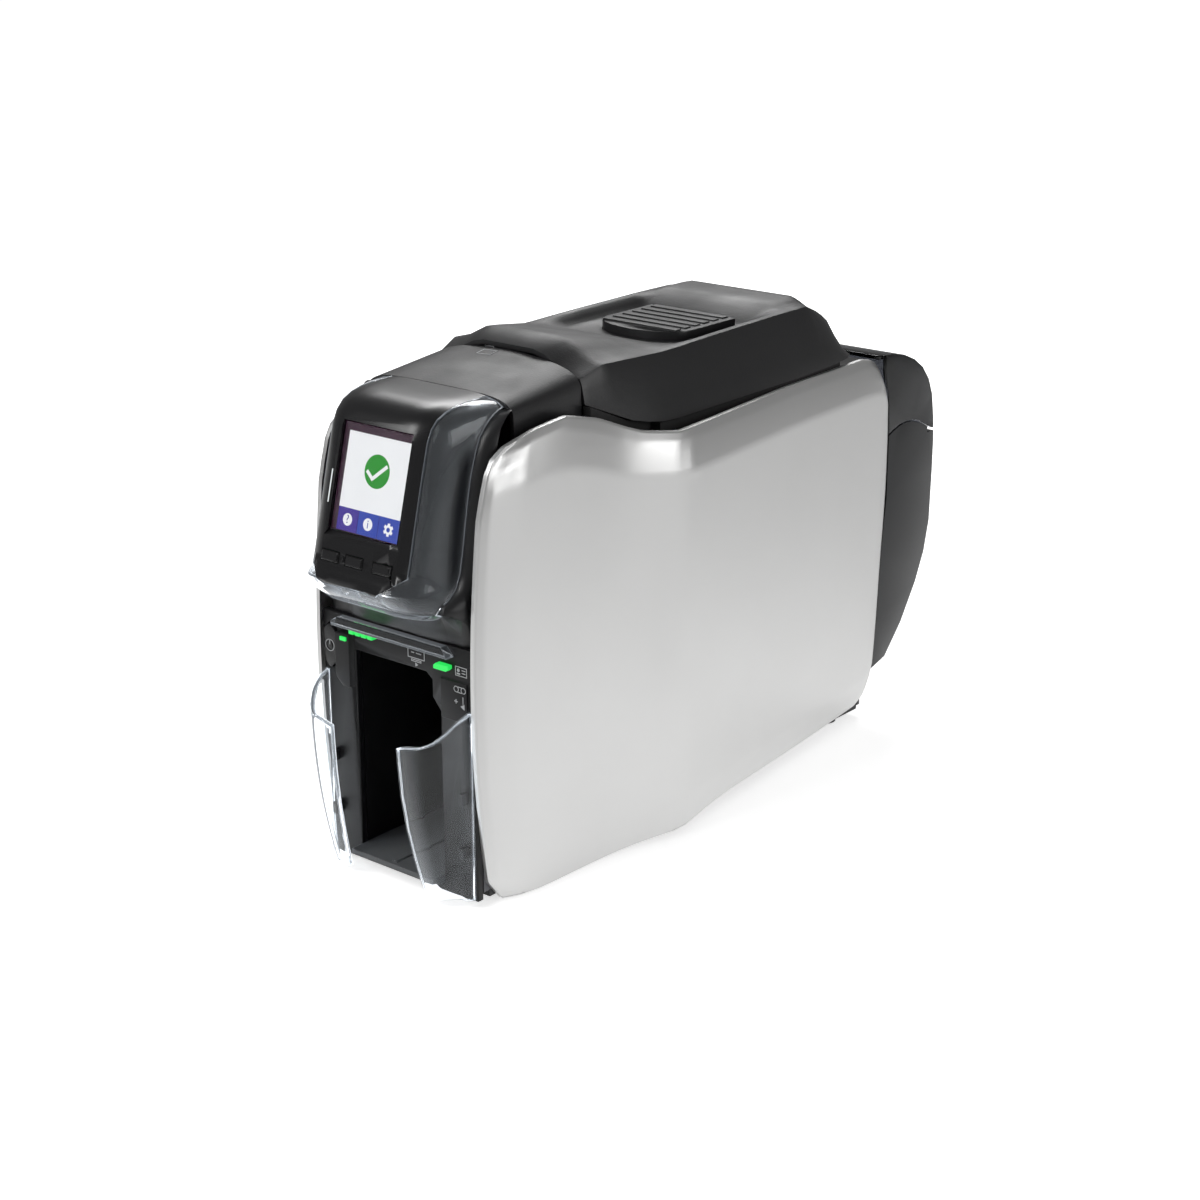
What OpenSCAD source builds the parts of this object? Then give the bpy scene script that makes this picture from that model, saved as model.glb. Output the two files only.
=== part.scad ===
/* [Overall size] */
// Width across both side panels
body_w = 154; // [150:1:160]
// Depth from the display hood to the back of the rear hopper
body_d = 424; // [416:1:434]
// Height with the lid shut
body_h = 260; // [256:1:266]

/* [Skins] */
// Thickness of each silver side panel
panel_t = 2.4; // [1.8:0.1:2.8]
// Width of the rolled border round a side panel
border_w = 20; // [16:1:24]
// How far the border rolls in toward its edge
border_depth = 6.5; // [5:0.5:7]
// Thickness of the lid skin
lid_t = 2.4; // [2:0.1:2.8]
// Thickness of the front top cover
cover_t = 2.2; // [1.8:0.1:2.6]
// Thickness of the clear display hood
hood_t = 1.8; // [1.4:0.1:2]
// Thickness of the display frame skin
frame_skin_t = 2; // [1.6:0.1:2.4]
// Thickness of the clear hopper walls
wing_t = 2; // [1.6:0.1:2.4]
// Thickness of the rear hopper walls
hopper_t = 2.2; // [1.8:0.1:2.6]

/* [Display and keys] */
// Width of the lit part of the screen
screen_w = 38.5; // [34:0.5:40]
// Height of the lit part of the screen
screen_h = 45.5; // [40:0.5:46]
// Width of each key under the screen
key_w = 11; // [9:0.5:12]
// Height of each key under the screen
key_h = 5; // [4:0.5:6]
// Travel of each key
key_travel = 0.8; // [0.5:0.1:1]
// Width of the eight-sided power button
power_w = 7.4; // [6.5:0.1:8]

/* [Card path] */
// Radius of every transport roller
roller_r = 6; // [5:0.25:6]
// Radius of every roller shaft
shaft_r = 2.5; // [2:0.1:3]
// Width of the card lane between the guides
lane_w = 55; // [54.5:0.25:55.5]
// Radius of each ribbon spindle hub
hub_r = 8; // [6:0.5:9]
// Radius of the belt pulleys
pulley_r = 7; // [6:0.25:8]

/* [Fits] */
// Radial clearance of turning shafts in their bores
run_fit = 0.05; // [0.02:0.01:0.09]
// Clearance round keys and sliding pieces
slide_gap = 0.35; // [0.3:0.05:0.5]
// Gap kept between neighbouring curved skins
skin_gap = 0.4; // [0.3:0.05:0.5]
// Height of the rubber feet
foot_h = 4; // [3:0.5:4]

/* [Hidden] */

// growth of the whole body against its middle size
dw = (body_w - 154) / 2;
dd = (body_d - 424) / 2;
dh = body_h - 260;

// reach of the display lip and of the rear hopper from the layout's own zero
front_reach = 211.6;
back_reach = 207.2;
y_mid = (front_reach - back_reach) / 2;

function clampv(v, a, b) = max(a, min(b, v));
function mix(a, b, t) = a + (b - a) * t;
function smooth(t) = let (c = clampv(t, 0, 1)) c * c * (3 - 2 * c);
// places given for the middle size move with the body, and sizes beyond the soft zone stay
function X(v) = v + dw * sign(v) * clampv((abs(v) - 32) / 14, 0, 1);
function Y(v) = v + y_mid + dd * sign(v) * clampv((abs(v) - 16) / 74, 0, 1);
function Z(v) = v + dh * clampv((v - 28) / 34, 0, 1);
function P(x, y, z) = [X(x), Y(y), Z(z)];

module box(x0, x1, y0, y1, z0, z1) {
    translate(P(x0, y0, z0))
    cube([X(x1) - X(x0), Y(y1) - Y(y0), Z(z1) - Z(z0)]);
}

// round bar along X
module rod(x0, x1, y, z, r) {
    translate(P(x0, y, z))
    rotate([0, 90, 0])
    cylinder(r = r, h = X(x1) - X(x0), $fn = 48);
}

// plate lying in the Y-Z plane, cut from an outline of [y, z] points
module plate_yz(x0, x1, pts) {
    translate([X(x0), 0, 0])
    rotate([90, 0, 90])
    linear_extrude(height = X(x1) - X(x0))
    polygon([for (p = pts) [Y(p[0]), Z(p[1])]]);
}

// plate lying flat, cut from an outline of [x, y] points
module plate_xy(z0, z1, pts) {
    translate([0, 0, Z(z0)])
    linear_extrude(height = Z(z1) - Z(z0))
    polygon([for (p = pts) [X(p[0]), Y(p[1])]]);
}

// block facing front, cut from an outline of [x, z] points
module plate_xz(y0, y1, pts) {
    translate([0, Y(y1), 0])
    rotate([90, 0, 0])
    linear_extrude(height = Y(y1) - Y(y0))
    polygon([for (p = pts) [X(p[0]), Z(p[1])]]);
}

// two triangles for one four-sided patch
function quad(a, b, c, d) = [[a, b, c], [a, c, d]];

// closed skin between an outer and an inner grid of points
module skin(a, b) {
    n = len(a);
    m = len(a[0]);
    o = n * m;
    pts = [for (g = [a, b]) for (r = g) for (p = r) p];
    faces = [
        for (i = [0:n - 2]) for (j = [0:m - 2])
            each quad(i * m + j, i * m + j + 1, (i + 1) * m + j + 1, (i + 1) * m + j),
        for (i = [0:n - 2]) for (j = [0:m - 2])
            each quad(o + i * m + j, o + (i + 1) * m + j, o + (i + 1) * m + j + 1, o + i * m + j + 1),
        for (j = [0:m - 2])
            each quad(j + 1, j, o + j, o + j + 1),
        for (j = [0:m - 2])
            each quad((n - 1) * m + j, (n - 1) * m + j + 1, o + (n - 1) * m + j + 1, o + (n - 1) * m + j),
        for (i = [0:n - 2])
            each quad(i * m, (i + 1) * m, o + (i + 1) * m, o + i * m),
        for (i = [0:n - 2])
            each quad((i + 2) * m - 1, (i + 1) * m - 1, o + (i + 1) * m - 1, o + (i + 2) * m - 1)
    ];
    polyhedron(points = pts, faces = faces, convexity = 8);
}

module mirror_pair() {
    children();
    mirror([1, 0, 0])
    children();
}

// ---- side panels -------------------------------------------------------
panel_x_knots = [[-183, 58.5], [-160, 59.5], [-141, 61], [-93, 64], [-73, 69], [-52, 77],
    [-15, 74.5], [43, 69], [101, 63.5], [150, 58.5], [160, 57]];
panel_top_knots = [[-160, 226], [-140, 231], [-117, 233.5], [-100, 229], [-84, 222], [-70, 217],
    [-52, 214.5], [-20, 215], [60, 216], [138, 214], [148, 210], [152, 204]];
panel_front_knots = [[2.2, -166], [13, -175], [59, -181], [110, -183], [159, -181], [196, -177],
    [214, -172], [222, -167], [226, -160]];
panel_rear_knots = [[16, 147], [59, 152], [95, 154], [130, 158], [165, 158], [190, 156], [204, 152]];
panel_foot_knots = [[-166, 2.2], [-140, 2], [-88, 3], [-65, 4], [-50, 5], [-4, 7], [79, 7.5],
    [138, 9], [144, 11], [147, 16]];

function panel_face_x(y) = lookup(y, panel_x_knots);
panel_fb = [-166, 2.2];
panel_ft = [-160, 226];
panel_rb = [147, 16];
panel_rt = [152, 204];
function edge_front(v) = let (z = mix(panel_fb[1], panel_ft[1], v)) [lookup(z, panel_front_knots), z];
function edge_rear(v) = let (z = mix(panel_rb[1], panel_rt[1], v)) [lookup(z, panel_rear_knots), z];
function edge_top(u) = let (y = mix(panel_ft[0], panel_rt[0], u)) [y, lookup(y, panel_top_knots)];
function edge_foot(u) = let (y = mix(panel_fb[0], panel_rb[0], u)) [y, lookup(y, panel_foot_knots)];
// patch point inside the four edges
function panel_yz(u, v) = (1 - v) * edge_foot(u) + v * edge_top(u)
    + (1 - u) * edge_front(v) + u * edge_rear(v)
    - (1 - u) * (1 - v) * panel_fb - u * (1 - v) * panel_rb
    - (1 - u) * v * panel_ft - u * v * panel_rt;
panel_len = 330;
panel_tall = 215;
// 1 on the edge, 0 where the flat face starts, and nearly square along the rear edge
function border_near(t, whole) = 1 - clampv(min(t, 1 - t) * whole / border_w, 0, 1);
function border_along(u) = u < 0.5 ? border_near(u, panel_len) : 0.28 * border_near(u, panel_len * 1.6);
function border_up(u, v) = v > 0.5 ? border_near(v, panel_tall)
    : border_near(v, panel_tall) * mix(0.3, 1, smooth((u - 0.2) / 0.3));
function border_in(u, v) = min(1, norm([border_along(u), border_up(u, v)]));
function roll_in(e) = border_depth * (0.65 * e + 0.35 * pow(e, 6));
panel_us = [0, 0.012, 0.03, 0.06, 0.09, 0.13, 0.2, 0.25, 0.285, 0.32, 0.35, 0.38, 0.42, 0.47,
    0.53, 0.6, 0.67, 0.74, 0.81, 0.87, 0.91, 0.94, 0.97, 0.988, 1];
panel_vs = [0, 0.02, 0.05, 0.093, 0.17, 0.3, 0.42, 0.54, 0.66, 0.78, 0.86, 0.907, 0.95, 0.98, 1];
function panel_grid(inset) = [for (v = panel_vs) [for (u = panel_us)
    let (q = panel_yz(u, v)) P(panel_face_x(q[0]) - roll_in(border_in(u, v)) - inset, q[0], q[1])]];

module side_panel() {
    skin(panel_grid(0), panel_grid(panel_t));
}

module right_side_panel() {
    color([0.80, 0.80, 0.80])
    side_panel();
}

module left_side_panel() {
    color([0.80, 0.80, 0.80])
    mirror([1, 0, 0])
    side_panel();
}

// ---- lid shape, also followed by the frames and the gasket -------------
lid_y0 = -98;
lid_y1 = 126;
function lid_edge_z(y) = lookup(y, [[-98, 233], [-84, 227], [-70, 221], [-55, 217.5], [-40, 216.5],
    [20, 217], [126, 218]]);
function lid_edge_x(y) = lookup(y, [[-98, 48.5], [-84, 52], [-70, 55.5], [-52, 59], [60, 59],
    [100, 57], [118, 54], [126, 50]]);
function lid_mid_z(y) = lookup(y, [[-98, 255.5], [-91, 258.6], [-84, 260], [-50, 254], [-25, 247],
    [-8, 243], [50, 243], [56, 247], [70, 253.5], [92, 253.5], [100, 249], [109, 242], [118, 231],
    [126, 222]]);
function lid_ridge_z(y) = lookup(y, [[-98, 245], [-84, 250], [-60, 249], [-34, 248], [0, 249],
    [60, 250], [88, 250], [100, 245], [109, 239], [118, 229], [126, 221]]);
function lid_ridge_x(y) = lookup(y, [[-98, 46], [-84, 48.5], [-34, 48.5], [88, 47], [109, 46], [126, 44]]);
function lid_flat_x(y) = lookup(y, [[-98, 16], [-84, 20], [-30, 34], [0, 36], [52, 35], [60, 33],
    [92, 33], [126, 34]]);
// half cross-section of the lid from its lower edge to its middle
function lid_half(y, t) = let (
    ex = lid_edge_x(y) - t, ez = lid_edge_z(y),
    rx = lid_ridge_x(y) - t, rz = lid_ridge_z(y) - t,
    fx = lid_flat_x(y), mz = lid_mid_z(y) - t) [
    for (s = [0, 0.3, 0.6, 0.85]) [rx + (ex - rx) * pow(1 - s, 0.85), mix(ez, rz - 1, s)],
    [rx - 0.6, rz],
    [rx - 3, rz + 0.5],
    for (s = [0.75, 0.5, 0.25, 0]) [mix(fx, rx - 3, s), mix(mz, rz + 0.5, smooth(s))],
    [fx / 2, mz],
    [0, mz]];
lid_ys = [lid_y0, -94, -91, -87, -84, -80, -70, -60, -50, -38, -25, -15, -8, 10, 30, 50, 53, 57, 63,
    68, 72, 80, 88, 92, 97, 103, 109, 114, 119, 123, lid_y1];
// whole cross-section, left edge to right edge
function both_halves(h) = concat([for (p = h) [-p[0], p[1]]],
    [for (i = [len(h) - 2:-1:0]) h[i]]);
function lid_grid(t) = [for (y = lid_ys) [for (p = both_halves(lid_half(y, t))) P(p[0], y, p[1])]];

module lid_shell() {
    color([0.13, 0.13, 0.14])
    difference() {
        skin(lid_grid(0), lid_grid(lid_t));
        plate_xy(latch_foot - 2, latch_top + 2, latch_outline(slide_gap));
    }
}

// ---- chassis -----------------------------------------------------------
frame_in = 47.5;
frame_out = 50;
path_z = 104;
roller_z = path_z - 6;
platen_y = -5;
entry_y = 116;
exit_y = -80;
clean_y = 62;
spindle_z = 150;
supply_y = 64;
takeup_y = -56;
motor_y = 9.4;
motor_z = roller_z - 19.2;
hinge_y = 121;
hinge_z = 216;
hinge_r = 2;
deck_z = 208;
deck_top = 211;
base_top = 8;
port_front = 134;
port_floor = 11;
fascia_back = -176;
fascia_front = -180;
fascia_top = 131.7;
seal_gap = 0.6;
seal_depth = 5;
rear_y = 146;
rise_ys = [-98, -91, -84, -77, -70, -61, -52];

module base_frame() {
    color([0.12, 0.12, 0.13])
    difference() {
        union() {
            box(-frame_out, frame_out, -172, rear_y, foot_h, base_top);
            box(-46, 46, port_front, rear_y, base_top, port_floor);
        }
        for (y = [-90:30:90])
            box(-30, 30, y - 4, y + 4, foot_h - 1, base_top + 1);
    }
}

feet_at = [[-38, -150], [38, -150], [-38, 128], [38, 128]];
module rubber_feet() {
    color([0.05, 0.05, 0.05])
    for (p = feet_at)
        translate([X(p[0]), Y(p[1]), 0])
        cylinder(r = 8, h = foot_h, $fn = 48);
}

frame_outline = concat(
    [[fascia_back, base_top], [rear_y, base_top], [rear_y, deck_z], [rise_ys[6], deck_z]],
    [for (i = [6:-1:0]) [rise_ys[i], lid_edge_z(rise_ys[i]) - seal_depth]],
    [[-98, 224], [-146, 224], [-146, fascia_top - 0.5], [fascia_back, fascia_top - 0.5]]);

// side plate of the mechanism with its shaft bores
module mechanism_plate(x0, x1) {
    difference() {
        plate_yz(x0, x1, frame_outline);
        for (y = [platen_y, entry_y, exit_y, clean_y])
            rod(x0 - 1, x1 + 1, y, roller_z, shaft_r + run_fit);
        for (y = [supply_y, takeup_y])
            rod(x0 - 1, x1 + 1, y, spindle_z, 4 + run_fit);
        box(x0 - 1, x1 + 1, -177, -166, 96, 132);
        box(x0 - 1, x1 + 1, -140, -100, 20, 90);
        box(x0 - 1, x1 + 1, 110, 138, 20, 84);
        box(x0 - 1, x1 + 1, -30, 30, 120, 190);
    }
}

// posts that carry the side panel
panel_posts = [[-150, 40], [-120, 180], [30, 36], [45, 190], [98, 40], [125, 190]];
post_r = 4;
module panel_post_set() {
    for (p = panel_posts)
        rod(frame_out, min(panel_face_x(p[0] - post_r), panel_face_x(p[0] + post_r)) - panel_t - 0.1,
            p[0], p[1], post_r);
}

module right_frame() {
    color([0.22, 0.22, 0.24]) {
        mechanism_plate(frame_in, frame_out);
        panel_post_set();
    }
}

module left_frame() {
    color([0.22, 0.22, 0.24])
    difference() {
        union() {
            mechanism_plate(-frame_out, -frame_in);
            mirror([1, 0, 0])
            panel_post_set();
        }
        rod(-frame_out - 1, -frame_in + 1, motor_y, motor_z, 4);
    }
}

// flat deck round the ribbon bay, reaching out to the side panels
deck_ys = [-52, -30, 0, 30, 60, 90, 120, 146];
function deck_x(y) = panel_face_x(y) - border_depth - panel_t - 0.6;
module bay_surround() {
    color([0.10, 0.10, 0.11])
    difference() {
        union() {
            plate_xy(deck_z, deck_top, concat([for (y = deck_ys) [deck_x(y), y]],
                [for (i = [len(deck_ys) - 1:-1:0]) [-deck_x(deck_ys[i]), deck_ys[i]]]));
            for (s = [-1, 1])
                translate([s * X(43.5) - 1.6, Y(hinge_y), Z(hinge_z)]) {
                    translate([0, -3.8, deck_top - hinge_z])
                    cube([3.2, 6.4, hinge_z - deck_top]);
                    rotate([0, 90, 0])
                    cylinder(r = hinge_r + 1, h = 3.2, $fn = 40);
                }
        }
        box(-45.5, 45.5, -60, 108, deck_z - 1, deck_top + 1);
        rod(-50, 50, hinge_y, hinge_z, hinge_r + run_fit);
    }
}

module lid_hinge_pin() {
    color([0.7, 0.7, 0.72])
    rod(-46.5, 46.5, hinge_y, hinge_z, hinge_r);
}

seal_ys = [-52, -40, 0, 30, 60, 86, 112];
module lid_gasket() {
    color([0.03, 0.03, 0.03])
    mirror_pair() {
        intersection() {
            plate_yz(49, 58, concat([for (y = seal_ys) [y, lid_edge_z(y) - seal_gap]],
                [[112, deck_top], [-52, deck_top]]));
            plate_xy(deck_top - 1, 230, concat([for (y = seal_ys) [min(58, deck_x(y)), y]],
                [for (i = [len(seal_ys) - 1:-1:0]) [min(58, deck_x(seal_ys[i])) - 7, seal_ys[i]]]));
        }
        plate_yz(frame_in, 52, concat([for (y = rise_ys) [y, lid_edge_z(y) - seal_gap]],
            [for (i = [6:-1:0]) [rise_ys[i], lid_edge_z(rise_ys[i]) - seal_depth]]));
    }
}

// ---- front face --------------------------------------------------------
mouth_x = 28;
mouth_top = 115;
mouth_sill = base_top - 0.2;
module front_fascia() {
    color([0.15, 0.15, 0.16])
    difference() {
        union() {
            box(-49.8, 49.8, fascia_front, fascia_back, foot_h, fascia_top);
            plate_xz(fascia_front - 3.5, fascia_front,
                [[-38.6, 100], [-34, 96], [-29, 96], [-29, 123], [-38.6, 123]]);
            box(29, 46, fascia_front - 1.2, fascia_front, 95, 115);
        }
        plate_xz(fascia_front - 6, fascia_back + 1,
            [[-mouth_x, mouth_sill], [mouth_x, mouth_sill], [mouth_x, 97], [23, 103], [23, 112], [19, mouth_top],
            [-mouth_x, mouth_top]]);
        translate([X(-44.4), Y(fascia_front) - 1, Z(114)])
        power_outline(slide_gap, 8);
    }
}

power_h = 22;
// eight-sided outline of the power button
module power_outline(g, deep) {
    w = power_w / 2 + g;
    h = power_h / 2 + g;
    c = 3;
    rotate([-90, 0, 0])
    linear_extrude(height = deep)
    polygon([[-w, -h + c], [-w + c, -h], [w - c, -h], [w, -h + c], [w, h - c], [w - c, h],
        [-w + c, h], [-w, h - c]]);
}

module power_button() {
    color([0.08, 0.08, 0.09])
    difference() {
        union() {
            translate([X(-44.4), Y(fascia_front) - 1.2, Z(114)])
            power_outline(0, 5.4);
            translate([X(-44.4), Y(fascia_back) + 0.2, Z(114)])
            power_outline(1.2, 1.2);
        }
        translate([X(-44.4), Y(fascia_front) - 1.4, Z(114)])
        rotate([-90, 0, 0])
        difference() {
            cylinder(r = 2.4, h = 0.6, $fn = 32);
            cylinder(r = 1.7, h = 0.6, $fn = 32);
        }
    }
}

chute_back = -92;
chute_floor = 13;
module output_chute() {
    color([0.04, 0.04, 0.045])
    difference() {
        box(-30, 30, fascia_back, chute_back, chute_floor, 117);
        box(-mouth_x, mouth_x, fascia_back - 1, chute_back - 2.5, chute_floor - 1, mouth_top);
        box(-lane_w / 2, lane_w / 2, chute_back - 3, chute_back + 1, path_z - 3, path_z + 4);
    }
}

module hopper_floor() {
    color([0.45, 0.46, 0.47])
    union() {
        plate_yz(-27.6, 27.6, [[-188, 10], [-188, 12.6], [-96, 12.6], [-96, base_top], [-175, base_top],
            [-182, base_top]]);
        plate_yz(-1.5, 1.5, [[-186, 12.6], [-186, 13.6], [-98, 15], [-98, 12.6]]);
    }
}

// path of a clear hopper wall seen from above, fascia end to finger edge
wing_path = [[48.2, -180.25], [47.6, -187], [45, -194], [41, -199.5], [36.5, -203], [34, -204.2],
    [28, -204.6], [22, -204]];
wing_zs = [5, 8, 14, 26, 42, 60, 78, 87];
function wing_back(z) = 13 * pow(clampv((88 - z) / 83, 0, 1), 2);
wing_rims = [101, 99, 94, 89.5, 87.5, 87, 86, 84];
function wing_point(i, j, t) = let (
    a = wing_path[max(0, j - 1)], b = wing_path[min(len(wing_path) - 1, j + 1)],
    dir = (b - a) / norm(b - a),
    z = i < len(wing_zs) ? wing_zs[i] * mix(1, wing_rims[j] / 87, smooth((wing_zs[i] - 42) / 45)) : wing_rims[j],
    f = smooth((-wing_path[j][1] - 180) / 20),
    q = wing_path[j] + t * [dir[1], -dir[0]])
    P(q[0] + 0.35 * f * wing_back(z) * (34 - q[0]) / 14, q[1] + f * wing_back(z), z);
module wing() {
    skin([for (i = [0:len(wing_zs) - 1]) [for (j = [0:len(wing_path) - 1]) wing_point(i, j, 0)]],
        [for (i = [0:len(wing_zs) - 1]) [for (j = [0:len(wing_path) - 1]) wing_point(i, j, wing_t)]]);
}

module output_wing_right() {
    color([0.75, 0.8, 0.85, 0.4])
    wing();
}

module output_wing_left() {
    color([0.75, 0.8, 0.85, 0.4])
    mirror([1, 0, 0])
    wing();
}

module hopper_clips() {
    color([0.2, 0.2, 0.21])
    mirror_pair()
        for (z = [29, 57])
            box(41.5, 44, fascia_front - 4, fascia_front, z - 3, z + 3);
}

module light_pipe() {
    color([0.7, 0.8, 0.78, 0.4])
    plate_xz(fascia_front - 5, fascia_front,
        [[-39.5, 126.5], [37, 126.5], [37, 127.5], [33, 131.5], [-35.5, 131.5], [-39.5, 129]]);
}

module status_leds() {
    color([0.1, 0.9, 0.3]) {
        for (x = [-28.4, -24.2, -20, -15.8])
            box(x, x + 3.2, fascia_front - 4, fascia_front, 124.2, 126.3);
        box(-34.4, -30.2, fascia_front - 4.4, fascia_front - 3.5, 119.8, 121.8);
        plate_xz(fascia_front - 3, fascia_front, [[26.5, 119.4], [34.5, 119.4], [36, 120.6],
            [36, 122.4], [28, 122.4], [26.5, 121.2]]);
    }
}

// ---- display pod -------------------------------------------------------
// outer face of the pod as seen from the side, from under the lip up and back over the top
lean = 0.259;
function face_y(z) = -191.5 - (231.5 - z) * lean;
pod_path = [[-186, 142.5], [-199, 147.5], [-208, 155], [-211.6, 161.5],
    [face_y(165.5), 165.5], [face_y(172), 172], [face_y(181), 181], [face_y(190), 190],
    [face_y(203), 203], [face_y(217), 217], [face_y(231), 231], [-188.8, 236.6], [-184.6, 240.6],
    [-178, 243.2], [-170, 244.4], [-160, 244.8], [-147.3, 245]];
// rear edge of the clear hood, and where the black frame ends beside it
hood_side = [[-184.5, 147], [-192, 150], [-191, 153.5], [-186, 157], [-181.5, 161], [-178.5, 167.5],
    [-176.5, 177], [-174.8, 187], [-172.8, 199], [-170, 212], [-166.5, 223], [-163.5, 229.5],
    [-160, 233.5], [-156.5, 236.5], [-153, 238.6], [-150, 239.8], [-147.3, 240.5]];
frame_end = [[-174, 140], [-173.6, 147], [-173.4, 151], [-173, 155], [-172.5, 160], [-171.8, 167],
    [-170, 177], [-168, 187], [-165.8, 199], [-163, 212], [-160, 223], [-157.5, 229],
    [-155.5, 233], [-153, 236], [-151, 238], [-149, 239.3], [-147.3, 240]];
pod_n = len(pod_path);
function pod_dir(i) = let (a = pod_path[max(0, i - 1)], b = pod_path[min(pod_n - 1, i + 1)],
    t = (b - a) / norm(b - a)) [t[1], -t[0]];
// narrower toward the foot of the lip
function pod_half(i) = lookup(i, [[0, 0.84], [1, 0.93], [2, 0.98], [3, 1]]);
hood_cols = [[0, 0], [12, 0], [21, 0], [26, 0.06], [30, 0.17], [33, 0.29], [36, 0.45],
    [38.5, 0.65], [40.3, 0.86], [41, 1]];
// one point of the pod surface, set in by a distance
function pod_point(i, c, inset) = let (
    q = mix(pod_path[i], hood_side[i], c[1]) + pod_dir(i) * inset * (1 - c[1] * 0.6))
    P((c[0] - inset * min(1, c[1] * 1.3)) * pod_half(i), q[0], q[1]);
function two_sided(r) = concat([for (k = [len(r) - 1:-1:1]) [-r[k][0], r[k][1], r[k][2]]], r);
function hood_grid(inset) = [for (i = [0:pod_n - 1])
    two_sided([for (c = hood_cols) pod_point(i, c, inset)])];

bezel_half = 30;
window_sill = 159.7;
window_shoulder = 169;
window_foot = 17;
// outline of the opening in the hood that the bezel fills, seen from the front
module bezel_window(g, y0, y1) {
    h = bezel_half + g;
    plate_xz(y0, y1, [[-h, window_shoulder - g], [-window_foot, window_sill - g], [window_foot, window_sill - g],
        [h, window_shoulder - g], [h, 260], [-h, 260]]);
}

module display_hood() {
    color([0.6, 0.65, 0.7, 0.35])
    difference() {
        skin(hood_grid(0), hood_grid(hood_t));
        bezel_window(0.15, -225, -140);
        for (x = [-6, 6])
            box(x - 0.4, x + 0.4, -220, -206, 156, 161);
    }
}

bezel_t = 2.2;
// the cutter that trims the foot of the bezel reaches this far past its sides
trim_over = 2;
trim_rise = trim_over * (window_shoulder - window_sill) / (bezel_half - window_foot);
frame_seat = 2.4;
bezel_cols = [for (c = hood_cols) if (c[0] <= bezel_half) c];
function bezel_grid(inset) = [for (i = [2:pod_n - 1])
    two_sided([for (c = bezel_cols) let (q = mix(pod_path[i], hood_side[i], c[1]) + pod_dir(i) * inset)
        P(c[0], q[0], q[1])])];

// frame of reference on the sloping screen face
module on_face(z) {
    translate([0, Y(face_y(z)), Z(z)])
    rotate([-atan(lean), 0, 0])
    children();
}
screen_x = 3.1;
screen_z = 208.2;
key_z = 172.2;
key_xs = [-14.8, 0.7, 18.3];
module display_bezel() {
    color([0.05, 0.05, 0.055])
    difference() {
        skin(bezel_grid(0.1), bezel_grid(bezel_t));
        plate_xz(-214, 200, [[-bezel_half - trim_over, 145], [bezel_half + trim_over, 145],
            [bezel_half + trim_over, window_shoulder + trim_rise], [window_foot, window_sill],
            [-window_foot, window_sill], [-bezel_half - trim_over, window_shoulder + trim_rise]]);
        on_face(screen_z)
        translate([screen_x - screen_w / 2 - 3, -0.4, -screen_h / 2 - 2.4])
        cube([screen_w + 5, 90, screen_h + 6]);
        for (x = key_xs)
            on_face(key_z)
            translate([x - key_w / 2 - slide_gap, -0.4, -key_h / 2 - slide_gap])
            cube([key_w + 2 * slide_gap, 90, key_h + 2 * slide_gap]);
    }
}

module lcd_glass() {
    color([0.12, 0.03, 0.1])
    on_face(screen_z)
    translate([screen_x - screen_w / 2 - 2.8, 0.9, -screen_h / 2 - 2.2])
    cube([screen_w + 4.6, 1.1, screen_h + 5.6]);
}

module lcd_module() {
    color([0.9, 0.92, 0.95])
    on_face(screen_z)
    translate([screen_x - screen_w / 2 - 2.5, 2, -screen_h / 2 - 2])
    cube([screen_w + 4, 3, screen_h + 5]);
}

module display_board() {
    color([0.05, 0.3, 0.12])
    union() {
        on_face(204)
        translate([-26, 5, -36])
        cube([52, 1.6, 62]);
        on_face(215)
        for (x = [-14, 8])
            translate([x, 6.6, -18])
            cube([9, 1.4, 9]);
    }
}

module soft_key(x) {
    color([0.03, 0.03, 0.03])
    on_face(key_z)
    union() {
        translate([x - key_w / 2, -0.2, -key_h / 2])
        cube([key_w, 3.3, key_h]);
        translate([x - key_w / 2 + 0.6, -0.6, -key_h / 2 + 0.6])
        cube([key_w - 1.2, 0.5, key_h - 1.2]);
    }
}

module key_left() soft_key(key_xs[0]);
module key_middle() soft_key(key_xs[1]);
module key_right() soft_key(key_xs[2]);

// black frame round the hood, starting two rows lower than the hood
frame_foot = [[-181.7, 131.8], [-182.2, 137]];
frame_foot_side = [[-179.4, 131.8], [-179.8, 137]];
frame_foot_end = [[-173.8, 131.8], [-174, 136]];
function frame_side_x(i) = mix(48.6, 46.6, clampv((i - 10) / 4, 0, 1));
function frame_row(i, t) = let (
    k = i - 2,
    q = i < 2 ? frame_foot[i] : pod_path[k],
    w = i < 2 ? frame_foot_side[i] : hood_side[k],
    e = i < 2 ? frame_foot_end[i] : frame_end[k],
    d = i < 2 ? [1, 0] : pod_dir(k),
    half = pod_half(max(0, k)),
    sx = frame_side_x(i)) concat(
    [for (c = hood_cols) let (g = mix(q, w, c[1]) + d * (frame_seat + t) * (1 - c[1] * 0.6))
        P((c[0] - (frame_seat + t) * min(1, c[1] * 1.3)) * half, g[0], g[1])],
    [for (s = [0, 0.3, 0.65, 1]) let (g = mix(w + d * frame_seat * 0.4, e, pow(s, 1.3)) + d * t * 0.4 * (1 - s))
        P(mix(41.6, sx, pow(s, 0.75)) - t * min(1, s + 0.5), g[0], g[1])]);
function frame_grid(t) = [for (i = [0:pod_n + 1]) two_sided(frame_row(i, t))];

module display_frame() {
    color([0.11, 0.11, 0.12])
    difference() {
        skin(frame_grid(0), frame_grid(frame_skin_t));
        plate_xz(-225, -172, [[-27.5, 167.5], [27.5, 167.5], [27.5, 234], [-27.5, 234]]);
    }
}

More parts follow.
